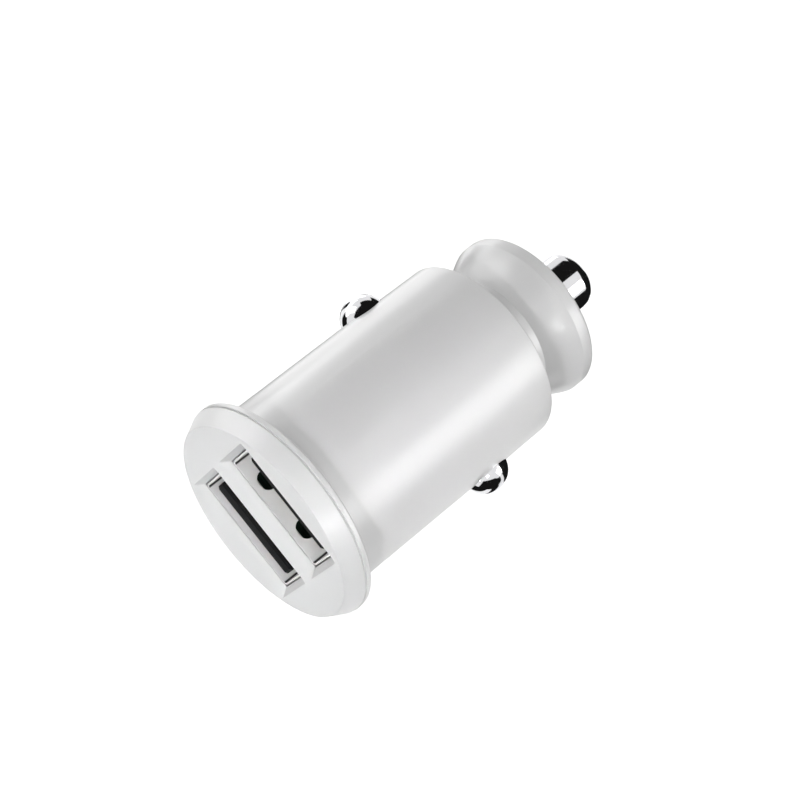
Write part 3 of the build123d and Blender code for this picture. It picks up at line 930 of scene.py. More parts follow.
@dataclass(frozen=True)
class PlatedFinish(Finish):
    """Polished plating over turned metal: bright, with smudges and hairline scratches."""

    line_scale: float = 3200.0
    smudge_scale: float = 240.0
    scratch_share: float = 0.4
    scratch_depth: float = 0.002
    relief: float = 0.2
    gloss_span: Pair = (0.3, 1.0)

    def surface(self, tree: Tree, effects: Effects) -> dict[str | int, Any]:
        """Smudges in the colour, smudges and scratches in the gloss, scratches in the relief.

        Args:
            tree: The material's tree.
            effects: The shared effects.

        Returns:
            Plain values and sockets, by the names of the shader's inputs.
        """
        scales = {"Line Scale": self.line_scale, "Smudge Scale": self.smudge_scale}
        marks = effects.place(tree, Effect.MARKS, scales)
        gloss = tree.maths("MULTIPLY_ADD", marks["Scratches"], self.scratch_share, marks["Smudges"])
        return {
            "Metallic": 1.0,
            "Base Color": tree.mixed(marks["Smudges"], self.colour, self.second),
            "Roughness": tree.remap(gloss, self.gloss_span, self.roughness),
            "Normal": tree.bumped(marks["Scratches"], self.scratch_depth, self.relief),
        }


@dataclass(frozen=True)
class DrawnFinish(Finish):
    """Rolled sheet or drawn wire: fine lines along the metal and slight tarnish."""

    line_scale: float = 4000.0
    stretch: float = 0.02
    tarnish_scale: float = 320.0
    line_depth: float = 0.004
    relief: float = 0.3
    metallic: float = 1.0
    # Painted shade and dark reflection: the colour painted into the sheet's bends, and the slant span that
    # masks it.
    bend_shade_colour: Triple | None = None
    bend_shade_span: Pair = (0.1, 0.4)

    def bend_shade_mask(self, tree: Tree) -> Socket:
        """Mask of painted shade at the sheet's bends: 1 where the sheet is bent about the plug's axis, 0 on
        its flat walls.

        Args:
            tree: The material's tree.

        Returns:
            The mask.
        """
        normal = tree.out("ShaderNodeNewGeometry", output="Normal")
        parts = tree.add("ShaderNodeSeparateXYZ", {"Vector": normal}).outputs
        slant = tree.maths("ABSOLUTE", tree.maths("MULTIPLY", parts["X"], parts["Z"]))
        return tree.remap(slant, self.bend_shade_span, tree.UNIT)

    def surface(self, tree: Tree, effects: Effects) -> dict[str | int, Any]:
        """Tarnish and painted shade at the bends in the colour, drawn lines in the gloss and the relief.

        Args:
            tree: The material's tree.
            effects: The shared effects.

        Returns:
            Plain values and sockets, by the names of the shader's inputs.
        """
        scales = {"Line Scale": self.line_scale, "Stretch": self.stretch, "Tarnish Scale": self.tarnish_scale}
        drawn = effects.place(tree, Effect.DRAWN, scales)
        colour = tree.mixed(drawn["Tarnish"], self.colour, self.second)
        # Painted shade: the colour is darkened where the sheet bends.
        if self.bend_shade_colour:
            colour = tree.mixed(self.bend_shade_mask(tree), colour, self.bend_shade_colour)
        return {
            "Metallic": self.metallic,
            "Base Color": colour,
            "Roughness": tree.remap(drawn["Lines"], NOISE_SPAN, self.roughness),
            "Normal": tree.bumped(drawn["Lines"], self.line_depth, self.relief),
        }


@dataclass(frozen=True)
class BoardFinish(Finish):
    """Solder mask over copper tracks, which stand a little proud and show lighter through it."""

    grain_scale: float = 12000.0
    cloud_scale: float = 400.0
    track_pitch: float = 1.3
    track_gap: float = 0.06
    track_length: float = 3.2
    track_depth: float = 0.035
    relief: float = 0.6
    coat: float = 0.3

    def surface(self, tree: Tree, effects: Effects) -> dict[str | int, Any]:
        """Tracks in the colour and the relief, clouding in the gloss.

        Args:
            tree: The material's tree.
            effects: The shared effects.

        Returns:
            Plain values and sockets, by the names of the shader's inputs.
        """
        scales = {"Grain Scale": self.grain_scale, "Cloud Scale": self.cloud_scale}
        skin = effects.place(tree, Effect.SKIN, scales)
        sizes = {
            "Vector": tree.here(),
            "Scale": 1 / (self.track_pitch * MM),
            "Mortar Size": self.track_gap,
            "Brick Width": self.track_length,
        }
        tracks = tree.remap(tree.out("ShaderNodeTexBrick", sizes, "Fac"), tree.UNIT, (1.0, 0.0))
        return {
            "Coat Weight": self.coat,
            "Base Color": tree.mixed(tracks, self.colour, self.second),
            "Roughness": tree.remap(skin["Cloud"], NOISE_SPAN, self.roughness),
            "Normal": tree.bumped(tracks, self.track_depth, self.relief),
        }


class Palette:
    """Every finish of the plug, by the record's slot."""

    WHITE = MouldedFinish(
        "white_plastic", (0.745, 0.745, 0.745), (0.765, 0.765, 0.765), (0.28, 0.31), specular=0.9
    )
    CHROME = PlatedFinish("chrome_plate", (0.8, 0.8, 0.81), (0.7, 0.7, 0.72), (0.05, 0.14))
    STEEL = DrawnFinish("spring_steel", (0.62, 0.62, 0.63), (0.5, 0.5, 0.52), (0.28, 0.4), stretch=1.0)
    NICKEL = DrawnFinish(
        "nickel_sheet",
        (0.97, 0.97, 0.97),
        (0.94, 0.94, 0.935),
        (0.3, 0.42),
        metallic=0.05,
        # Painted shade and dark reflection in the shell's bends.
        bend_shade_colour=(0.03, 0.03, 0.032),
    )
    BLACK = MouldedFinish(
        "black_plastic", (0.003, 0.003, 0.0035), (0.008, 0.008, 0.009), (0.5, 0.65), specular=0.06
    )
    GOLD = DrawnFinish("gold_contact", (0.93, 0.78, 0.38), (0.85, 0.68, 0.3), (0.14, 0.26))
    BRASS = DrawnFinish("brass_sheet", (0.78, 0.62, 0.32), (0.66, 0.5, 0.25), (0.28, 0.4))
    # Solder mask painted nearly black green: painted shade where the board shows through the finger slots.
    BOARD = BoardFinish("board_green", (0.003, 0.012, 0.006), (0.006, 0.024, 0.012), (0.28, 0.4))
    FERRITE = MouldedFinish(
        "ferrite", (0.05, 0.05, 0.055), (0.09, 0.09, 0.095), (0.55, 0.75), 5000.0, 600.0, 0.02
    )
    CHIP = MouldedFinish(
        "chip_black", (0.02, 0.02, 0.022), (0.035, 0.035, 0.037), (0.45, 0.65), 7000.0, 500.0, 0.01
    )
    CERAMIC = MouldedFinish(
        "chip_ceramic", (0.55, 0.55, 0.53), (0.68, 0.68, 0.66), (0.35, 0.5), 8000.0, 700.0
    )
    CAN = DrawnFinish("capacitor_can", (0.7, 0.71, 0.73), (0.58, 0.59, 0.62), (0.28, 0.42))

    def __init__(self) -> None:
        """Builds every material once."""
        effects = Effects()
        finishes = [value for value in vars(type(self)).values() if isinstance(value, Finish)]
        self.materials = {finish.slot: finish.material(effects) for finish in finishes}

    def dress_nodes(self, frame: dict[str, Any]) -> None:
        """Gives every CAD node the material of its slot in the record.
        """
        for part in frame["record"]["subparts"]:
            mesh = frame["nodes"][part["node"]].data
            mesh.materials.clear()
            mesh.materials.append(self.materials[part["material_slot"]])


# Sub-assemblies


@dataclass(frozen=True)
class Coil:
    """A spring: the radius of its middle line, the radius of its wire, its turns and how far it gives."""

    radius: float
    wire_r: float
    turns: float
    travel: float


@dataclass
class Assembly:
    """A sub-assembly: winds its springs, and dresses and seats its finished pieces."""

    palette: Palette
    growth: Growth

    def seat(self, piece: Piece, body: Body, finish: Finish, nodes: Sequence[str]) -> None:
        """Dresses a finished piece, lets it ride on its body and stand for its CAD nodes.

        Args:
            piece: The finished object.
            body: Body that carries it.
            finish: Finish that it gets.
            nodes: CAD nodes that it stands for.
        """
        piece.data.materials.clear()
        piece.data.materials.append(self.palette.materials[finish.slot])
        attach(piece, body.value)
        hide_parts(*nodes)
        LOG.info("%s: %d faces, rides on %s", piece.name, len(piece.data.polygons), body.value)

    def wind(self, node: str, coil: Coil, ends: Pair, place: Matrix) -> tuple[Piece, float]:
        """Winds a spring into the room between its seat and the flange that presses it.

        Args:
            node: CAD node that it stands for.
            coil: Sizes of the spring.
            ends: Where the room starts and ends along the spring's own axis.
            place: Puts that axis, which is Z to begin with, where it belongs.

        Returns:
            The seated spring, and the share of the room that is left when it is pressed home.
        """
        start, end = ends
        room = end - start
        margin = coil.wire_r + CLEAR
        spring = self.growth.grow(
            f"{node}_wire",
            self.growth.coil,
            {
                "Coil Radius": coil.radius * MM,
                "Wire Radius": coil.wire_r * MM,
                "Turns": coil.turns,
                "Length": (room - 2 * margin) * MM,
                "Material": self.palette.materials[Palette.STEEL.slot],
            },
        )
        spring.data.transform(place @ Matrix.Translation((0, 0, (start + margin) * MM)))
        smooth(spring)
        self.seat(spring, Body.HOUSING, Palette.STEEL, [node])
        return spring, (room - coil.travel) / room


@dataclass(frozen=True)
class TailCapSizes:
    """Sizes of the tail cap, measured from the flange along the plug's axis."""

    plug_front: float = 24.6
    plug_rear: float = 27.2
    plug_r: float = 9.35
    bead: float = 0.2
    bead_front: float = 25.5
    bead_rear: float = 26.3
    bore_r: float = 4.31
    stop_y: float = 33.2
    guide_r: float = 3.26
    guide_edge: float = 0.08
    neck_r: float = 6.8
    neck_end: float = 30.6
    neck_root: float = 0.1
    shoulder_r: float = 8.26
    shoulder_y: float = 32.25
    shoulder_steps: int = 12
    rim_r: float = 9.1
    rim_start: float = 33.9
    rim_end: float = 35.5
    rim_front_edge: float = 0.12
    rim_rear_edge: float = 0.5
    nose_base_r: float = 5.4
    nose_root: float = 0.12
    nose_r: float = 4.5
    nose_end: float = 37.3
    nose_edge: float = 0.3


@dataclass(frozen=True)
class PortSizes:
    """Sizes that the bezel and the ports share."""

    place_z: float = 4.45
    mouth_y: float = -2.05
    width: float = 12.405
    height: float = 4.7
    sheet: float = 0.2
    corner: float = 0.5
    shell_rear: float = 9.95
    throat_width: float = 13.105
    throat_height: float = 4.8
    lead_in_depth: float = 0.62
    lead_in_end: float = 0.65
    lead_in_side: float = 1.25
    lead_in_corner: float = 0.2
    slot_start: float = -1.4
    slot_length: float = 5.2
    slot_width: float = 2.1
    slot_end_r: float = 0.95
    finger_x: float = 3.0

    @property
    def shell_width(self) -> float:
        """Outer width of the shell."""
        return self.width + 2 * self.sheet

    @property
    def shell_height(self) -> float:
        """Outer height of the shell."""
        return self.height + 2 * self.sheet


@dataclass
class Housing(Assembly):
    """White mouldings: the flanged barrel, the chamfered bezel and the tail cap."""

    cap: TailCapSizes = TailCapSizes()
    ports: PortSizes = PortSizes()
    barrel_r: float = 10.4
    bore_r: float = 9.4
    bore_edge: float = 0.1
    barrel_length: float = 27.8
    guide_length: float = 16.8
    rear_taper: float = 0.1
    rear_edge: float = 0.2
    root_r: float = 0.2
    head_r: float = 12.3
    face_r: float = 11.3
    flange_front: float = -0.7
    flange_draft: float = 0.05
    flange_edge: float = 0.25
    flange_front_edge: float = 0.06
    face_y: float = -2.8
    face_edge: float = 0.12
    bezel_edge: float = 0.1
    seam_width: float = 0.14
    seam_depth: float = 0.18
    side_contact_y: float = 19.8
    side_hole_r: float = 2.56
    bead_groove: Pair = (25.45, 26.35)
    bead_height: float = 0.25
    barb_groove: Pair = (3.85, 5.25)
    barb_height: float = 0.35
    rail_x: float = 8.0
    rail_y: Pair = (6.6, 14.8)
    rail_z: Pair = (0.65, 1.45)
    hook_count: int = 4
    hook_width: float = 4.2
    hook_inner_r: float = 8.35
    hook_outer_r: float = 9.35
    hook_end: float = 5.2
    hook_step: float = 0.25
    barb_root: float = 0.3
    barb_rise: float = 0.05
    barb_flat: float = 0.55
    fork_half: float = 1.8
    fork_end: float = 1.2
    fork_z: float = 1.55
    fork_edge: float = 0.06
    fork_slot_y: Pair = (-0.65, 2.0)
    fork_slot_half: Pair = (2.0, 0.65)
    relief_floor: float = 0.75
    relief_lead: float = 0.15
    relief_side: float = 0.1
    longest_step: float = 0.8
    hole_segments: int = 96

    def build(self) -> None:
        """Builds and seats the three mouldings."""
        self.build_barrel()
        self.build_bezel()
        self.build_fork()
        self.build_hooks()
        self.build_tail_cap()

    def build_barrel(self) -> None:
        """Flanged tube with a hole for each side contact."""
        rear_r = self.barrel_r - self.rear_taper
        profile = profile_points(
            [
                Corner(self.bore_r, self.flange_front),
                Corner(self.head_r, self.flange_front, self.flange_front_edge),
                Corner(self.head_r - self.flange_draft, 0.0, self.flange_edge),
                Corner(self.barrel_r, 0.0, self.root_r),
                Corner(self.barrel_r, self.guide_length),
                Corner(rear_r, self.barrel_length, self.rear_edge),
                Corner(self.bore_r, self.barrel_length, self.bore_edge),
                *self.bore_groove(self.bead_groove, self.bead_height),
                *self.bore_groove(self.barb_groove, self.barb_height),
            ],
            self.longest_step,
        )
        barrel = as_object("barrel_moulding", turned(profile, PLUG_AXIS))
        hole = [
            Vector((0.0, -self.head_r)),
            Vector((self.side_hole_r, -self.head_r)),
            Vector((self.side_hole_r, self.head_r)),
            Vector((0.0, self.head_r)),
        ]
        place = across(self.side_contact_y, 1)
        combine(barrel, [turned(hole, place, self.hole_segments)], Joining.CUT)
        combine(barrel, self.board_rails(), Joining.WELD)
        smooth(barrel)
        self.seat(barrel, Body.HOUSING, Palette.WHITE, ["barrel"])

    def bore_groove(self, span: Pair, depth: float) -> list[Corner]:
        """Corners of a snap groove in the bore, from its rear to its front.

        Args:
            span: Where it starts and ends along the axis.
            depth: How deep it goes into the wall.

        Returns:
            The four corners.
        """
        front, rear = span
        floor_r = self.bore_r + depth
        return [
            Corner(self.bore_r, rear),
            Corner(floor_r, rear),
            Corner(floor_r, front),
            Corner(self.bore_r, front),
        ]

    def board_rails(self) -> list[Shape]:
        """Two rails on each side of the bore, which hold the board's edges.

        Returns:
            The four rails.
        """
        (front, rear), (low, high) = self.rail_y, self.rail_z
        wall = self.bore_r + OVERLAP
        return [
            block((side * self.rail_x, front, face * low), (side * wall, rear, face * high))
            for side in SIDES
            for face in SIDES
        ]

    def build_bezel(self) -> None:
        """Chamfered front plate with two sloped port openings."""
        groove_y = self.flange_front - self.seam_width
        profile = profile_points(
            [
                Corner(0.0, self.face_y),
                Corner(self.face_r, self.face_y, self.face_edge),
                Corner(self.head_r, groove_y, self.bezel_edge),
                Corner(self.head_r - self.seam_depth, groove_y),
                Corner(self.head_r - self.seam_depth, self.flange_front),
                Corner(0.0, self.flange_front),
            ]
        )
        bezel = as_object("front_bezel_moulding", turned(profile, PLUG_AXIS))
        combine(bezel, [self.port_opening(port) for port in Port], Joining.CUT)
        combine(bezel, self.finger_reliefs(), Joining.CUT)
        smooth(bezel, FINE_EDGE)
        self.seat(bezel, Body.HOUSING, Palette.WHITE, ["front_bezel"])

    def port_opening(self, port: Port) -> Shape:
        """Solid of one port opening: a sloped lead-in, a throat and a pocket for the shell.

        Args:
            port: Which port.

        Returns:
            The solid to cut away.
        """
        sizes = self.ports
        width, height, radius = sizes.throat_width, sizes.throat_height, sizes.lead_in_corner
        pocket = sizes.shell_height + 2 * CLEAR
        flare = 2 * (1 + OVERLAP / sizes.lead_in_depth)
        wide, high = width + flare * sizes.lead_in_end, height + flare * sizes.lead_in_side
        sections = [
            Section(self.face_y - OVERLAP, wide, high, radius),
            Section(self.face_y + sizes.lead_in_depth, width, height, radius),
            Section(sizes.mouth_y - CLEAR, width, height, radius),
            Section(sizes.mouth_y - CLEAR, width, pocket, radius),
            Section(self.flange_front + OVERLAP, width, pocket, radius),
        ]
        return lofted(sections, port.value * sizes.place_z)

    def finger_reliefs(self) -> list[Shape]:
        """Room in the bar between the ports for the fingers of both shells, open to the rear.

        Returns:
            The four solids to cut away.
        """
        sizes = self.ports
        wall = sizes.place_z - sizes.shell_height / 2
        front, rear = sizes.slot_start - self.relief_lead, self.flange_front + OVERLAP
        half = sizes.slot_width / 2 + self.relief_side
        return [
            block((x - half, front, face * self.relief_floor), (x + half, rear, face * wall))
            for x in (-sizes.finger_x, sizes.finger_x)
            for face in SIDES
        ]

    def build_fork(self) -> None:
        """Fork on the bezel's back, which holds the board's front edge."""
        near = (-self.fork_half, self.flange_front, -self.fork_z)
        fork = as_object("board_fork", block(near, (self.fork_half, self.fork_end, self.fork_z)))
        (front, rear), (x, z) = self.fork_slot_y, self.fork_slot_half
        combine(fork, [block((-x, front, -z), (x, rear, z))], Joining.CUT)
        smooth(fork, self.fork_edge)
        self.seat(fork, Body.HOUSING, Palette.WHITE, ["front_bezel"])

    def build_hooks(self) -> None:
        """Ring of snap hooks on the bezel's back."""
        white = self.palette.materials[Palette.WHITE.slot]
        values = {"Count": self.hook_count, "Material": white}
        hooks = self.growth.grow("snap_hooks", self.growth.ring, values, self.one_hook())
        smooth(hooks)
        self.seat(hooks, Body.HOUSING, Palette.WHITE, ["front_bezel"])

    def one_hook(self) -> Shape:
        """The snap hook on the upper side of the bore, with its barb.

        Returns:
            The hook.
        """
        half, outer_r = self.hook_width / 2, self.hook_outer_r
        arm_top = outer_r - self.hook_step
        shape = block((-half, self.flange_front, self.hook_inner_r), (half, self.hook_end, arm_top))
        barb_front = self.barb_groove[0] + CLEAR
        corners = [
            (barb_front, outer_r - self.barb_root),
            (barb_front, outer_r + self.barb_rise),
            (barb_front + self.barb_flat, outer_r + self.barb_rise),
            (self.hook_end, arm_top),
        ]
        ends = [[shape.verts.new((x * MM, y * MM, z * MM)) for y, z in corners] for x in (-half, half)]
        bridge(shape, *ends)
        for end in ends:
            shape.faces.new(end)
        bmesh.ops.recalc_face_normals(shape, faces=shape.faces)
        return shape

    def build_tail_cap(self) -> None:
        """Beaded plug, waist, domed shoulder, rim and the nose that guides the tip."""
        cap = self.cap
        rim, neck = (cap.rim_r, cap.rim_start), (cap.neck_r, cap.neck_end)
        corners = [
            Corner(cap.bore_r, cap.plug_front),
            Corner(cap.bore_r, cap.stop_y),
            Corner(cap.guide_r, cap.stop_y),
            Corner(cap.guide_r, cap.nose_end, cap.guide_edge),
            Corner(cap.nose_r, cap.nose_end, cap.nose_edge),
            Corner(cap.nose_base_r, cap.rim_end, cap.nose_root),
            Corner(cap.rim_r, cap.rim_end, cap.rim_rear_edge),
            Corner(*rim, cap.rim_front_edge),
            *arc_corners(rim, (cap.shoulder_r, cap.shoulder_y), neck, cap.shoulder_steps),
            Corner(*neck),
            Corner(cap.neck_r, cap.plug_rear, cap.neck_root),
            Corner(cap.plug_r, cap.plug_rear),
            Corner(cap.plug_r, cap.bead_rear),
            Corner(cap.plug_r + cap.bead, (cap.bead_rear + cap.bead_front) / 2),
            Corner(cap.plug_r, cap.bead_front),
            Corner(cap.plug_r, cap.plug_front),
        ]
        piece = as_object("tail_cap_moulding", turned(profile_points(corners), PLUG_AXIS))
        smooth(piece)
        self.seat(piece, Body.HOUSING, Palette.WHITE, ["tail_cap"])


@dataclass(frozen=True)
class Strip:
    """A bent strip: its width, its sheet, the radius of its bends and its distance from the port's middle."""

    width: float
    sheet: float
    bend: float
    spread: float


@dataclass
class PortInsert(Assembly):
    """One port: a folded shell with sprung fingers, an insulator and four contact strips."""

    port: Port
    sizes: PortSizes = PortSizes()
    strip_edge: float = 0.03
    finger_width: float = 1.5
    finger_bow: float = 0.4
    finger_lip: float = 0.2
    finger_root: float = 0.6
    finger_nose: float = 0.8
    finger_bend: float = 1.0
    leg_y: Pair = (4.95, 6.95)
    leg_foot: float = 1.0
    board_top: float = 0.6
    tongue_front: float = -1.65
    tongue_width: float = 11.105
    tongue_z: Pair = (4.51, 6.35)
    tongue_edge: float = 0.25
    tongue_corner: float = 0.1
    base_front: float = 7.55
    contact_width: float = 0.9
    contact_sheet: float = 0.25
    contact_bend: float = 0.3
    contact_z: float = 4.535
    contact_crest: float = 0.3
    contact_dip: float = 0.05
    contact_nose: float = 0.35
    contact_slope: float = 1.8
    contact_tail_y: float = 10.225
    power_x: float = 3.5
    power_front: float = -1.2
    signal_x: float = 1.0
    signal_front: float = -0.45

    def build(self) -> None:
        """Builds and seats the shell, its fingers, the insulator and the contacts."""
        self.build_shell()
        self.build_fingers()
        self.build_tongue()
        self.build_contacts("power", self.power_x, self.power_front, (1, 4))
        self.build_contacts("signal", self.signal_x, self.signal_front, (2, 3))

    def own(self, shape: Shape) -> Shape:
        """A shape made for the upper port, brought to this one."""
        return shape if self.port is Port.UPPER else flipped(shape)

    def build_shell(self) -> None:
        """Folded tube with four round-ended slots and two soldered legs."""
        size = self.sizes
        outside = size.shell_width, size.shell_height, size.corner
        inside = size.width, size.height, size.corner - size.sheet
        walls = [
            Section(size.mouth_y, *outside),
            Section(size.shell_rear, *outside),
            Section(size.shell_rear, *inside),
            Section(size.mouth_y, *inside),
        ]
        tube = lofted(walls, size.place_z, closed=True)
        shell = as_object(f"port_shell_{self.port.label}_sheet", self.own(tube))
        combine(shell, [self.own(slot) for slot in self.finger_slots()], Joining.CUT)
        combine(shell, [self.own(leg) for leg in self.legs()], Joining.WELD)
        smooth(shell, FINE_EDGE)
        self.seat(shell, Body.HOUSING, Palette.NICKEL, [f"port_shell_{self.port.label}"])

    def finger_slots(self) -> list[Shape]:
        """Prisms of the round-ended slots, two in each broad wall.

        Returns:
            The four prisms, for the upper port.
        """
        size = self.sizes
        middle = size.slot_start + size.slot_length / 2
        outline = size.slot_width, size.slot_length, size.slot_end_r
        slots = []
        for side in SIDES:
            for wall in SIDES:
                slot = lofted([Section(end * 2 * size.sheet, *outline) for end in SIDES], 0.0)
                wall_z = size.place_z + wall * (size.height + size.sheet) / 2
                place = Matrix.Translation(Vector((side * size.finger_x, middle, wall_z)) * MM)
                slot.transform(place @ PLUG_AXIS)
                slots.append(slot)
        return slots

    def legs(self) -> list[Shape]:
        """A leg down each side of the shell, with a foot on the board.

        Returns:
            Legs and feet, for the upper port.
        """
        size = self.sizes
        outer = size.shell_width / 2
        low_wall = size.place_z - size.shell_height / 2 + size.corner + size.sheet
        front, rear = self.leg_y
        legs = []
        for side in SIDES:
            start = (side * (outer - size.sheet), front, self.board_top)
            legs.append(block(start, (side * outer, rear, low_wall)))
            legs.append(block(start, (side * (outer + self.leg_foot), rear, self.board_top + size.sheet)))
        return legs

    def strips(
        self, name: str, line: Sequence[Pair], strip: Strip, finish: Finish, nodes: Sequence[str]
    ) -> None:
        """Builds and seats a mirrored pair of strips along a line.

        Args:
            name: Name of the piece.
            line: Middle line as places along the axis and heights, for the upper port.
            strip: Sizes of each strip.
            finish: Its finish.
            nodes: CAD nodes that the pair stands for.
        """
        seed = bmesh.new()
        points = [seed.verts.new((0, y * MM, self.port.value * z * MM)) for y, z in line]
        for start, end in zip(points, points[1:]):
            seed.edges.new((start, end))
        values = {
            "Width": strip.width * MM,
            "Sheet": strip.sheet * MM,
            "Bend Radius": strip.bend * MM,
            "Spread": strip.spread * MM,
            "Material": self.palette.materials[finish.slot],
        }
        pair = self.growth.grow(name, self.growth.strip_pair, values, seed)
        smooth(pair, self.strip_edge)
        self.seat(pair, Body.HOUSING, finish, nodes)

    def build_fingers(self) -> None:
        """Fingers rooted at the slots' rear ends, bowed into the port towards their free ends."""
        size, label = self.sizes, self.port.label
        root = size.slot_start + size.slot_length + size.sheet
        free = size.slot_start + size.slot_width / 2
        strip = Strip(self.finger_width, size.sheet, self.finger_bend, size.finger_x)
        for wall, word in ((1, "outer"), (-1, "inner")):
            level = size.place_z + wall * (size.height + size.sheet) / 2
            line = [
                (root, level),
                (root - self.finger_root, level),
                (free + self.finger_nose, level - wall * self.finger_bow),
                (free, level - wall * self.finger_lip),
            ]
            self.strips(f"port_fingers_{label}_{word}", line, strip, Palette.NICKEL, [f"port_shell_{label}"])

    def build_tongue(self) -> None:
        """Base that fills the shell's rear, and the tongue with a groove for each contact."""
        size, corner = self.sizes, self.tongue_corner
        low, high = self.tongue_z
        width, thick, edge = self.tongue_width, high - low, 2 * self.tongue_edge
        bar = lofted(
            [
                Section(self.tongue_front, width - edge, thick - edge, corner),
                Section(self.tongue_front + self.tongue_edge, width, thick, corner),
                Section(self.base_front + OVERLAP, width, thick, corner),
            ],
            (low + high) / 2,
        )
        fill = size.width - 2 * CLEAR, size.height - 2 * CLEAR, size.corner - size.sheet
        ends = [Section(along, *fill) for along in (self.base_front, size.shell_rear)]
        tongue = as_object(f"port_tongue_{self.port.label}_moulding", self.own(bar))
        combine(tongue, [self.own(lofted(ends, size.place_z))], Joining.WELD)
        combine(tongue, [self.own(groove) for groove in self.contact_grooves()], Joining.CUT)
        smooth(tongue, FINE_EDGE)
        self.seat(tongue, Body.HOUSING, Palette.BLACK, [f"port_tongue_{self.port.label}"])

    def contact_grooves(self) -> list[Shape]:
        """Grooves in the tongue, one for each contact.

        Returns:
            The four solids to cut away, for the upper port.
        """
        half = self.contact_width / 2 + CLEAR
        reach = self.contact_sheet / 2 + CLEAR
        low, high, rear = self.contact_z - reach, self.contact_z + reach, self.sizes.shell_rear + OVERLAP
        return [
            block((x - half, front - CLEAR, low), (x + half, rear, high))
            for spread, front in ((self.power_x, self.power_front), (self.signal_x, self.signal_front))
            for x in (-spread, spread)
        ]

    def build_contacts(self, name: str, spread: float, front: float, numbers: tuple[int, int]) -> None:
        """Two contact strips: crested near the front, with tails bent down to the board.

        Args:
            name: What the pair carries.
            spread: Distance of each from the middle of the port.
            front: Where they start along the axis.
            numbers: Numbers of the two in the row.
        """
        label, crest_y = self.port.label, front + self.contact_nose
        line = [
            (self.contact_tail_y, self.board_top),
            (self.contact_tail_y, self.contact_z),
            (crest_y + self.contact_slope, self.contact_z),
            (crest_y, self.contact_z - self.contact_crest),
            (front, self.contact_z - self.contact_dip),
        ]
        strip = Strip(self.contact_width, self.contact_sheet, self.contact_bend, spread)
        nodes = [f"port_contact_{label}_{number}" for number in numbers]
        self.strips(f"port_contacts_{label}_{name}", line, strip, Palette.GOLD, nodes)


@dataclass
class Tip(Assembly):
    """Sprung centre contact and its coil."""

    pin_r: float = 3.2
    end_y: float = 42.8
    end_round: float = 1.8
    flange_r: float = 4.25
    flange_front: float = 32.2
    flange_rear: float = 33.2
    flange_edge: float = 0.08
    spigot_r: float = 2.3
    spigot_front: float = 30.6
    spigot_edge: float = 0.2
    seat_y: float = 25.6
    coil: Coil = Coil(3.2, 0.3, 5.0, 3.0)

    def build(self) -> None:
        """Builds and seats the pin and its spring."""
        profile = profile_points(
            [
                Corner(0.0, self.spigot_front),
                Corner(self.spigot_r, self.spigot_front, self.spigot_edge),
                Corner(self.spigot_r, self.flange_front),
                Corner(self.flange_r, self.flange_front, self.flange_edge),
                Corner(self.flange_r, self.flange_rear, self.flange_edge),
                Corner(self.pin_r, self.flange_rear),
                Corner(self.pin_r, self.end_y, self.end_round),
                Corner(0.0, self.end_y),
            ]
        )
        pin = as_object("tip_pin_plated", turned(profile, PLUG_AXIS))
        smooth(pin)
        self.seat(pin, Body.TIP, Palette.CHROME, ["tip_pin"])
        spring, kept = self.wind("tip_spring", self.coil, (self.seat_y, self.flange_front), PLUG_AXIS)
        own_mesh(spring)


@dataclass
class SideContact(Assembly):
    """One sprung ball contact and its coil."""

    body: Body
    ball_r: float = 2.5
    ball_x: float = 9.75
    flange_r: float = 3.0
    flange_x: float = 8.86
    flange_back: float = 8.16
    flange_edge: float = 0.06
    spigot_r: float = 1.45
    spigot_back: float = 6.96
    spigot_edge: float = 0.15
    place_y: float = 19.8
    seat_x: float = 4.4
    coil: Coil = Coil(2.0, 0.2, 4.0, 1.6)
    dome_steps: int = 24
    segments: int = 128

    def build(self) -> None:
        """Builds and seats the ball contact and its spring."""
        side = self.body.name.lower()
        sign = 1 if self.body is Body.RIGHT else -1
        place = across(self.place_y, sign)
        angles = [math.pi / 2 * step / self.dome_steps for step in range(self.dome_steps + 1)]
        profile = profile_points(
            [
                Corner(0.0, self.spigot_back),
                Corner(self.spigot_r, self.spigot_back, self.spigot_edge),
                Corner(self.spigot_r, self.flange_back),
                Corner(self.flange_r, self.flange_back, self.flange_edge),
                Corner(self.flange_r, self.flange_x, self.flange_edge),
                Corner(self.ball_r, self.flange_x),
                *(Corner(self.ball_r * math.cos(a), self.ball_x + self.ball_r * math.sin(a)) for a in angles),
            ]
        )
        ball = as_object(f"side_contact_{side}_plated", turned(profile, place, self.segments))
        smooth(ball)
        self.seat(ball, self.body, Palette.CHROME, [f"side_contact_{side}"])
        spring, kept = self.wind(f"side_spring_{side}", self.coil, (self.seat_x, self.flange_back), place)
        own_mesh(spring)


# Studio


@dataclass(frozen=True)
class SoftBox:
    """One lamp: where it stands, its two sides in millimetres, its power in watts, its spread and its aim."""

    name: str
    place: Triple
    size: Pair
    power: float
    spread: float = 180.0
    aim: Triple = (0.0, 16.0, 0.0)


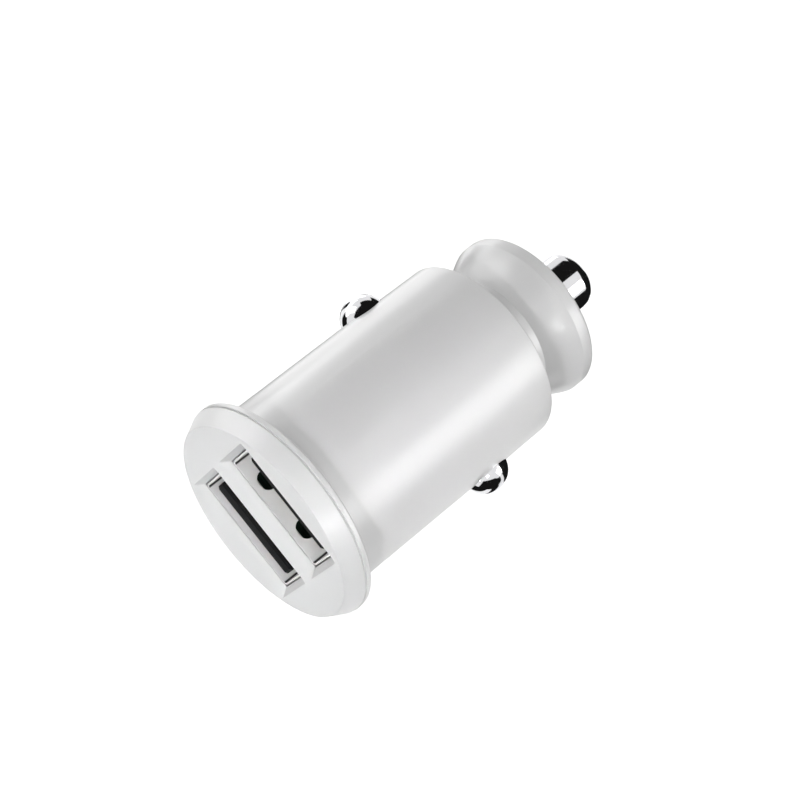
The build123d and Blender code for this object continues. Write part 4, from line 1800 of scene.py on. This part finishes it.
@dataclass
class Studio:
    """Pale floor, soft light, reflection cards and the camera."""

    boxes: tuple[SoftBox, ...] = (
        SoftBox("left_box", (-150.0, 0.0, -42.0), (180.0, 60.0), 0.052),
        SoftBox("front_right_box", (140.0, -300.0, 82.0), (44.0, 44.0), 0.0016, 11.0, (0.0, -5.0, 0.0)),
        SoftBox("front_top_box", (0.0, -264.0, 198.0), (44.0, 44.0), 0.0026, 11.0, (0.0, -5.0, -2.0)),
        SoftBox("edge_box", (190.0, -135.0, 235.0), (60.0, 60.0), 0.13),
        SoftBox("rear_right_box", (220.0, 200.0, 190.0), (160.0, 160.0), 0.312),
        SoftBox("rear_left_box", (-118.0, 90.0, -58.0), (90.0, 40.0), 0.019),
        SoftBox("left_high_box", (-230.0, -62.0, 40.0), (110.0, 110.0), 0.08),
    )
    floor_z: float = -75.0
    floor_half: float = 2500.0
    floor_colour: Triple = (0.5, 0.5, 0.5)
    floor_lift: float = 0.74
    floor_fade: Pair = (90.0, 300.0)
    ambient: float = 0.5
    card_rise: float = 1.0
    black_glow: float = 0.01
    white_glow: float = 2.3
    camera_place: Triple = (-1.07, -91.49, 214.63)
    camera_forward: Triple = (0.0, 0.4520, -0.8920)
    camera_up: Triple = (-0.7840, 0.5537, 0.2805)
    camera_lens: float = 107.4
    camera_sensor: float = 36.0
    camera_clip: Pair = (0.01, 10.0)

    def build(self) -> None:
        """Builds the whole studio."""
        bpy.context.scene.view_settings.view_transform = "Standard"
        self.build_world()
        self.build_floor()
        self.build_lamps()
        self.build_cards()
        self.build_camera()

    @staticmethod
    def seen_directly(tree: Tree) -> Socket:
        """1 for rays that show the background itself or its mirror image, otherwise 0.

        Args:
            tree: Tree of the material or the world.

        Returns:
            The mask.
        """
        rays = tree.add("ShaderNodeLightPath").outputs
        mirrored = tree.maths("MAXIMUM", rays["Is Camera Ray"], rays["Is Glossy Ray"])
        return tree.maths("MAXIMUM", mirrored, rays["Is Transmission Ray"])

    def build_world(self) -> None:
        """Soft even light, and plain white where the background is seen."""
        world = bpy.data.worlds.new("soft_white")
        world.use_nodes = True
        bpy.context.scene.world = world
        tree = Tree(world.node_tree)
        strength = tree.remap(self.seen_directly(tree), tree.UNIT, (self.ambient, 1.0))
        tree.fill(world.node_tree.nodes["Background"], {"Color": (1, 1, 1, 1), "Strength": strength})

    @staticmethod
    def bare_material(name: str) -> tuple[Material, Tree, Socket]:
        """Material with no shader yet.

        Args:
            name: Its name.

        Returns:
            The material, its tree and the socket that takes its surface.
        """
        material = bpy.data.materials.new(name)
        material.use_nodes = True
        nodes = material.node_tree.nodes
        nodes.remove(nodes["Principled BSDF"])
        return material, Tree(material.node_tree), nodes["Material Output"].inputs["Surface"]

    @staticmethod
    def sheet(name: str, corners: Sequence[Triple], material: Material) -> Piece:
        """Flat sheet of the studio.

        Args:
            name: Its name.
            corners: Its corners in millimetres.
            material: What it is made of.

        Returns:
            The sheet.
        """
        shape = bmesh.new()
        shape.faces.new([shape.verts.new(Vector(corner) * MM) for corner in corners])
        made = as_object(name, shape)
        made.data.materials.append(material)
        return made

    def build_floor(self) -> None:
        """Pale floor that takes the object's shadow."""
        material, tree, surface = self.bare_material("floor_paper")
        reach = tree.out("ShaderNodeVectorMath", {0: tree.here()}, "Value", operation="LENGTH")
        start, end = self.floor_fade
        lifts = self.floor_lift, 1.0
        fade = tree.remap(reach, (start * MM, end * MM), lifts, interpolation_type="SMOOTHSTEP")
        lift = tree.maths("MULTIPLY", fade, self.seen_directly(tree))
        glow = tree.out("ShaderNodeEmission", {"Strength": lift})
        paper = tree.out("ShaderNodeBsdfDiffuse", {"Color": (*self.floor_colour, 1)})
        dark = tree.out("ShaderNodeBsdfDiffuse", {"Color": (0, 0, 0, 1)})
        ground = tree.out("ShaderNodeMixShader", {0: tree.remap(fade, lifts, tree.UNIT), 1: paper, 2: dark})
        tree.link(tree.out("ShaderNodeAddShader", {0: ground, 1: glow}), surface)
        half, z = self.floor_half, self.floor_z
        corners = ((-half, -half, z), (half, -half, z), (half, half, z), (-half, half, z))
        self.sheet("studio_floor", corners, material)

    def build_lamps(self) -> None:
        """Soft boxes that face the plug."""
        for box in self.boxes:
            lamp = bpy.data.lights.new(box.name, "AREA")
            lamp.shape = "RECTANGLE"
            lamp.size, lamp.size_y = box.size[0] * MM, box.size[1] * MM
            lamp.energy = box.power
            lamp.spread = math.radians(box.spread)
            stand = bpy.data.objects.new(box.name, lamp)
            bpy.context.scene.collection.objects.link(stand)
            stand.location = Vector(box.place) * MM
            line = Vector(box.aim) * MM - stand.location
            stand.rotation_mode = "QUATERNION"
            stand.rotation_quaternion = line.to_track_quat("-Z", "Y")

    def card_material(self, name: str, glow: float) -> Material:
        """Plain surface of even brightness for a card.

        Args:
            name: The material's name.
            glow: Brightness that a mirror shows.

        Returns:
            The new material.
        """
        material, tree, surface = self.bare_material(name)
        tree.link(tree.out("ShaderNodeEmission", {"Strength": glow}), surface)
        return material

    def card_outlines(self) -> dict[str, Sequence[Triple]]:
        """Where the cards stand.

        Returns:
            Corners of each card in millimetres, by its name.
        """
        low = self.floor_z + self.card_rise
        cards: dict[str, Sequence[Triple]] = {
            "upper_left_card": (
                (-230, -300, 140),
                (-26, -300, 300),
                (-26, 500, 300),
                (-300, 500, 85),
                (-300, 120, 85),
                (-230, 60, 140),
            ),
            "right_card": ((100, 91, 27), (100, 91, low), (100, 260, low), (100, 260, 27)),
            "lower_right_card": ((100, 91, low), (8, 77, low), (8, 260, low), (100, 260, low)),
            "rear_card": ((-150, 260, low), (250, 260, low), (250, 260, 200), (-150, 260, 200)),
            "outline_card": ((6, 32, low), (-44, 32, low), (-44, 84, low), (6, 84, low)),
            "bright_card": ((-52, 42, low), (-92, 52, low), (-92, 100, low), (-52, 88, low)),
        }
        near_balls = {
            "ball_card": ((22, -5), (22, -60), (60, -115), (170, -150), (170, -40), (60, -10)),
            "gap_card": ((48, 30), (90, 20), (210, 0), (210, 95), (90, 48), (50, 36)),
        }
        for name, outline in near_balls.items():
            cards[f"right_{name}"] = tuple((x, y, low) for x, y in outline)
            cards[f"left_{name}"] = tuple((-x, y, low) for x, y in outline)
        fence = (
            (108, -108, low, 50),
            (140, -76, low, 74),
            (164, -28, low, 92),
            (172, 20, low, 92),
            (167, 48, low, 66),
            (156, 90, -14, 46),
        )
        for number, (near, far) in enumerate(zip(fence, fence[1:]), 1):
            cards[f"side_card_{number}"] = (near[:3], far[:3], (*far[:2], far[3]), (*near[:2], near[3]))
        return cards

    def build_cards(self) -> None:
        """Cards that only reflections show: dark bands in the plating and the barrel's bright outline."""
        black = self.card_material("black_card", self.black_glow)
        white = self.card_material("white_card", self.white_glow)
        for name, corners in self.card_outlines().items():
            card = self.sheet(name, corners, white if name == "bright_card" else black)
            card.visible_camera = False
            card.visible_diffuse = False
            card.visible_shadow = False
            card.visible_transmission = False

    def build_camera(self) -> None:
        """Camera at the photograph's viewing angle."""
        data = bpy.data.cameras.new("photo_camera")
        data.lens = self.camera_lens
        data.sensor_width = self.camera_sensor
        data.clip_start, data.clip_end = self.camera_clip
        camera = bpy.data.objects.new("photo_camera", data)
        bpy.context.scene.collection.objects.link(camera)
        back = -Vector(self.camera_forward).normalized()
        right = Vector(self.camera_up).cross(back).normalized()
        up = back.cross(right)
        turn = Matrix((right, up, back)).transposed().to_4x4()
        camera.matrix_world = Matrix.Translation(Vector(self.camera_place) * MM) @ turn
        bpy.context.scene.camera = camera


def main() -> None:
    """Builds the plug round its frame, then the studio."""
    logging.basicConfig(level=logging.INFO, format="%(name)s: %(message)s")
    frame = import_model()
    palette = Palette()
    palette.dress_nodes(frame)
    growth = Growth()
    assemblies = [
        Housing(palette, growth),
        PortInsert(palette, growth, Port.UPPER),
        PortInsert(palette, growth, Port.LOWER),
        Tip(palette, growth),
        SideContact(palette, growth, Body.LEFT),
        SideContact(palette, growth, Body.RIGHT),
    ]
    for assembly in assemblies:
        assembly.build()
    Studio().build()


if __name__ == "__main__":
    main()
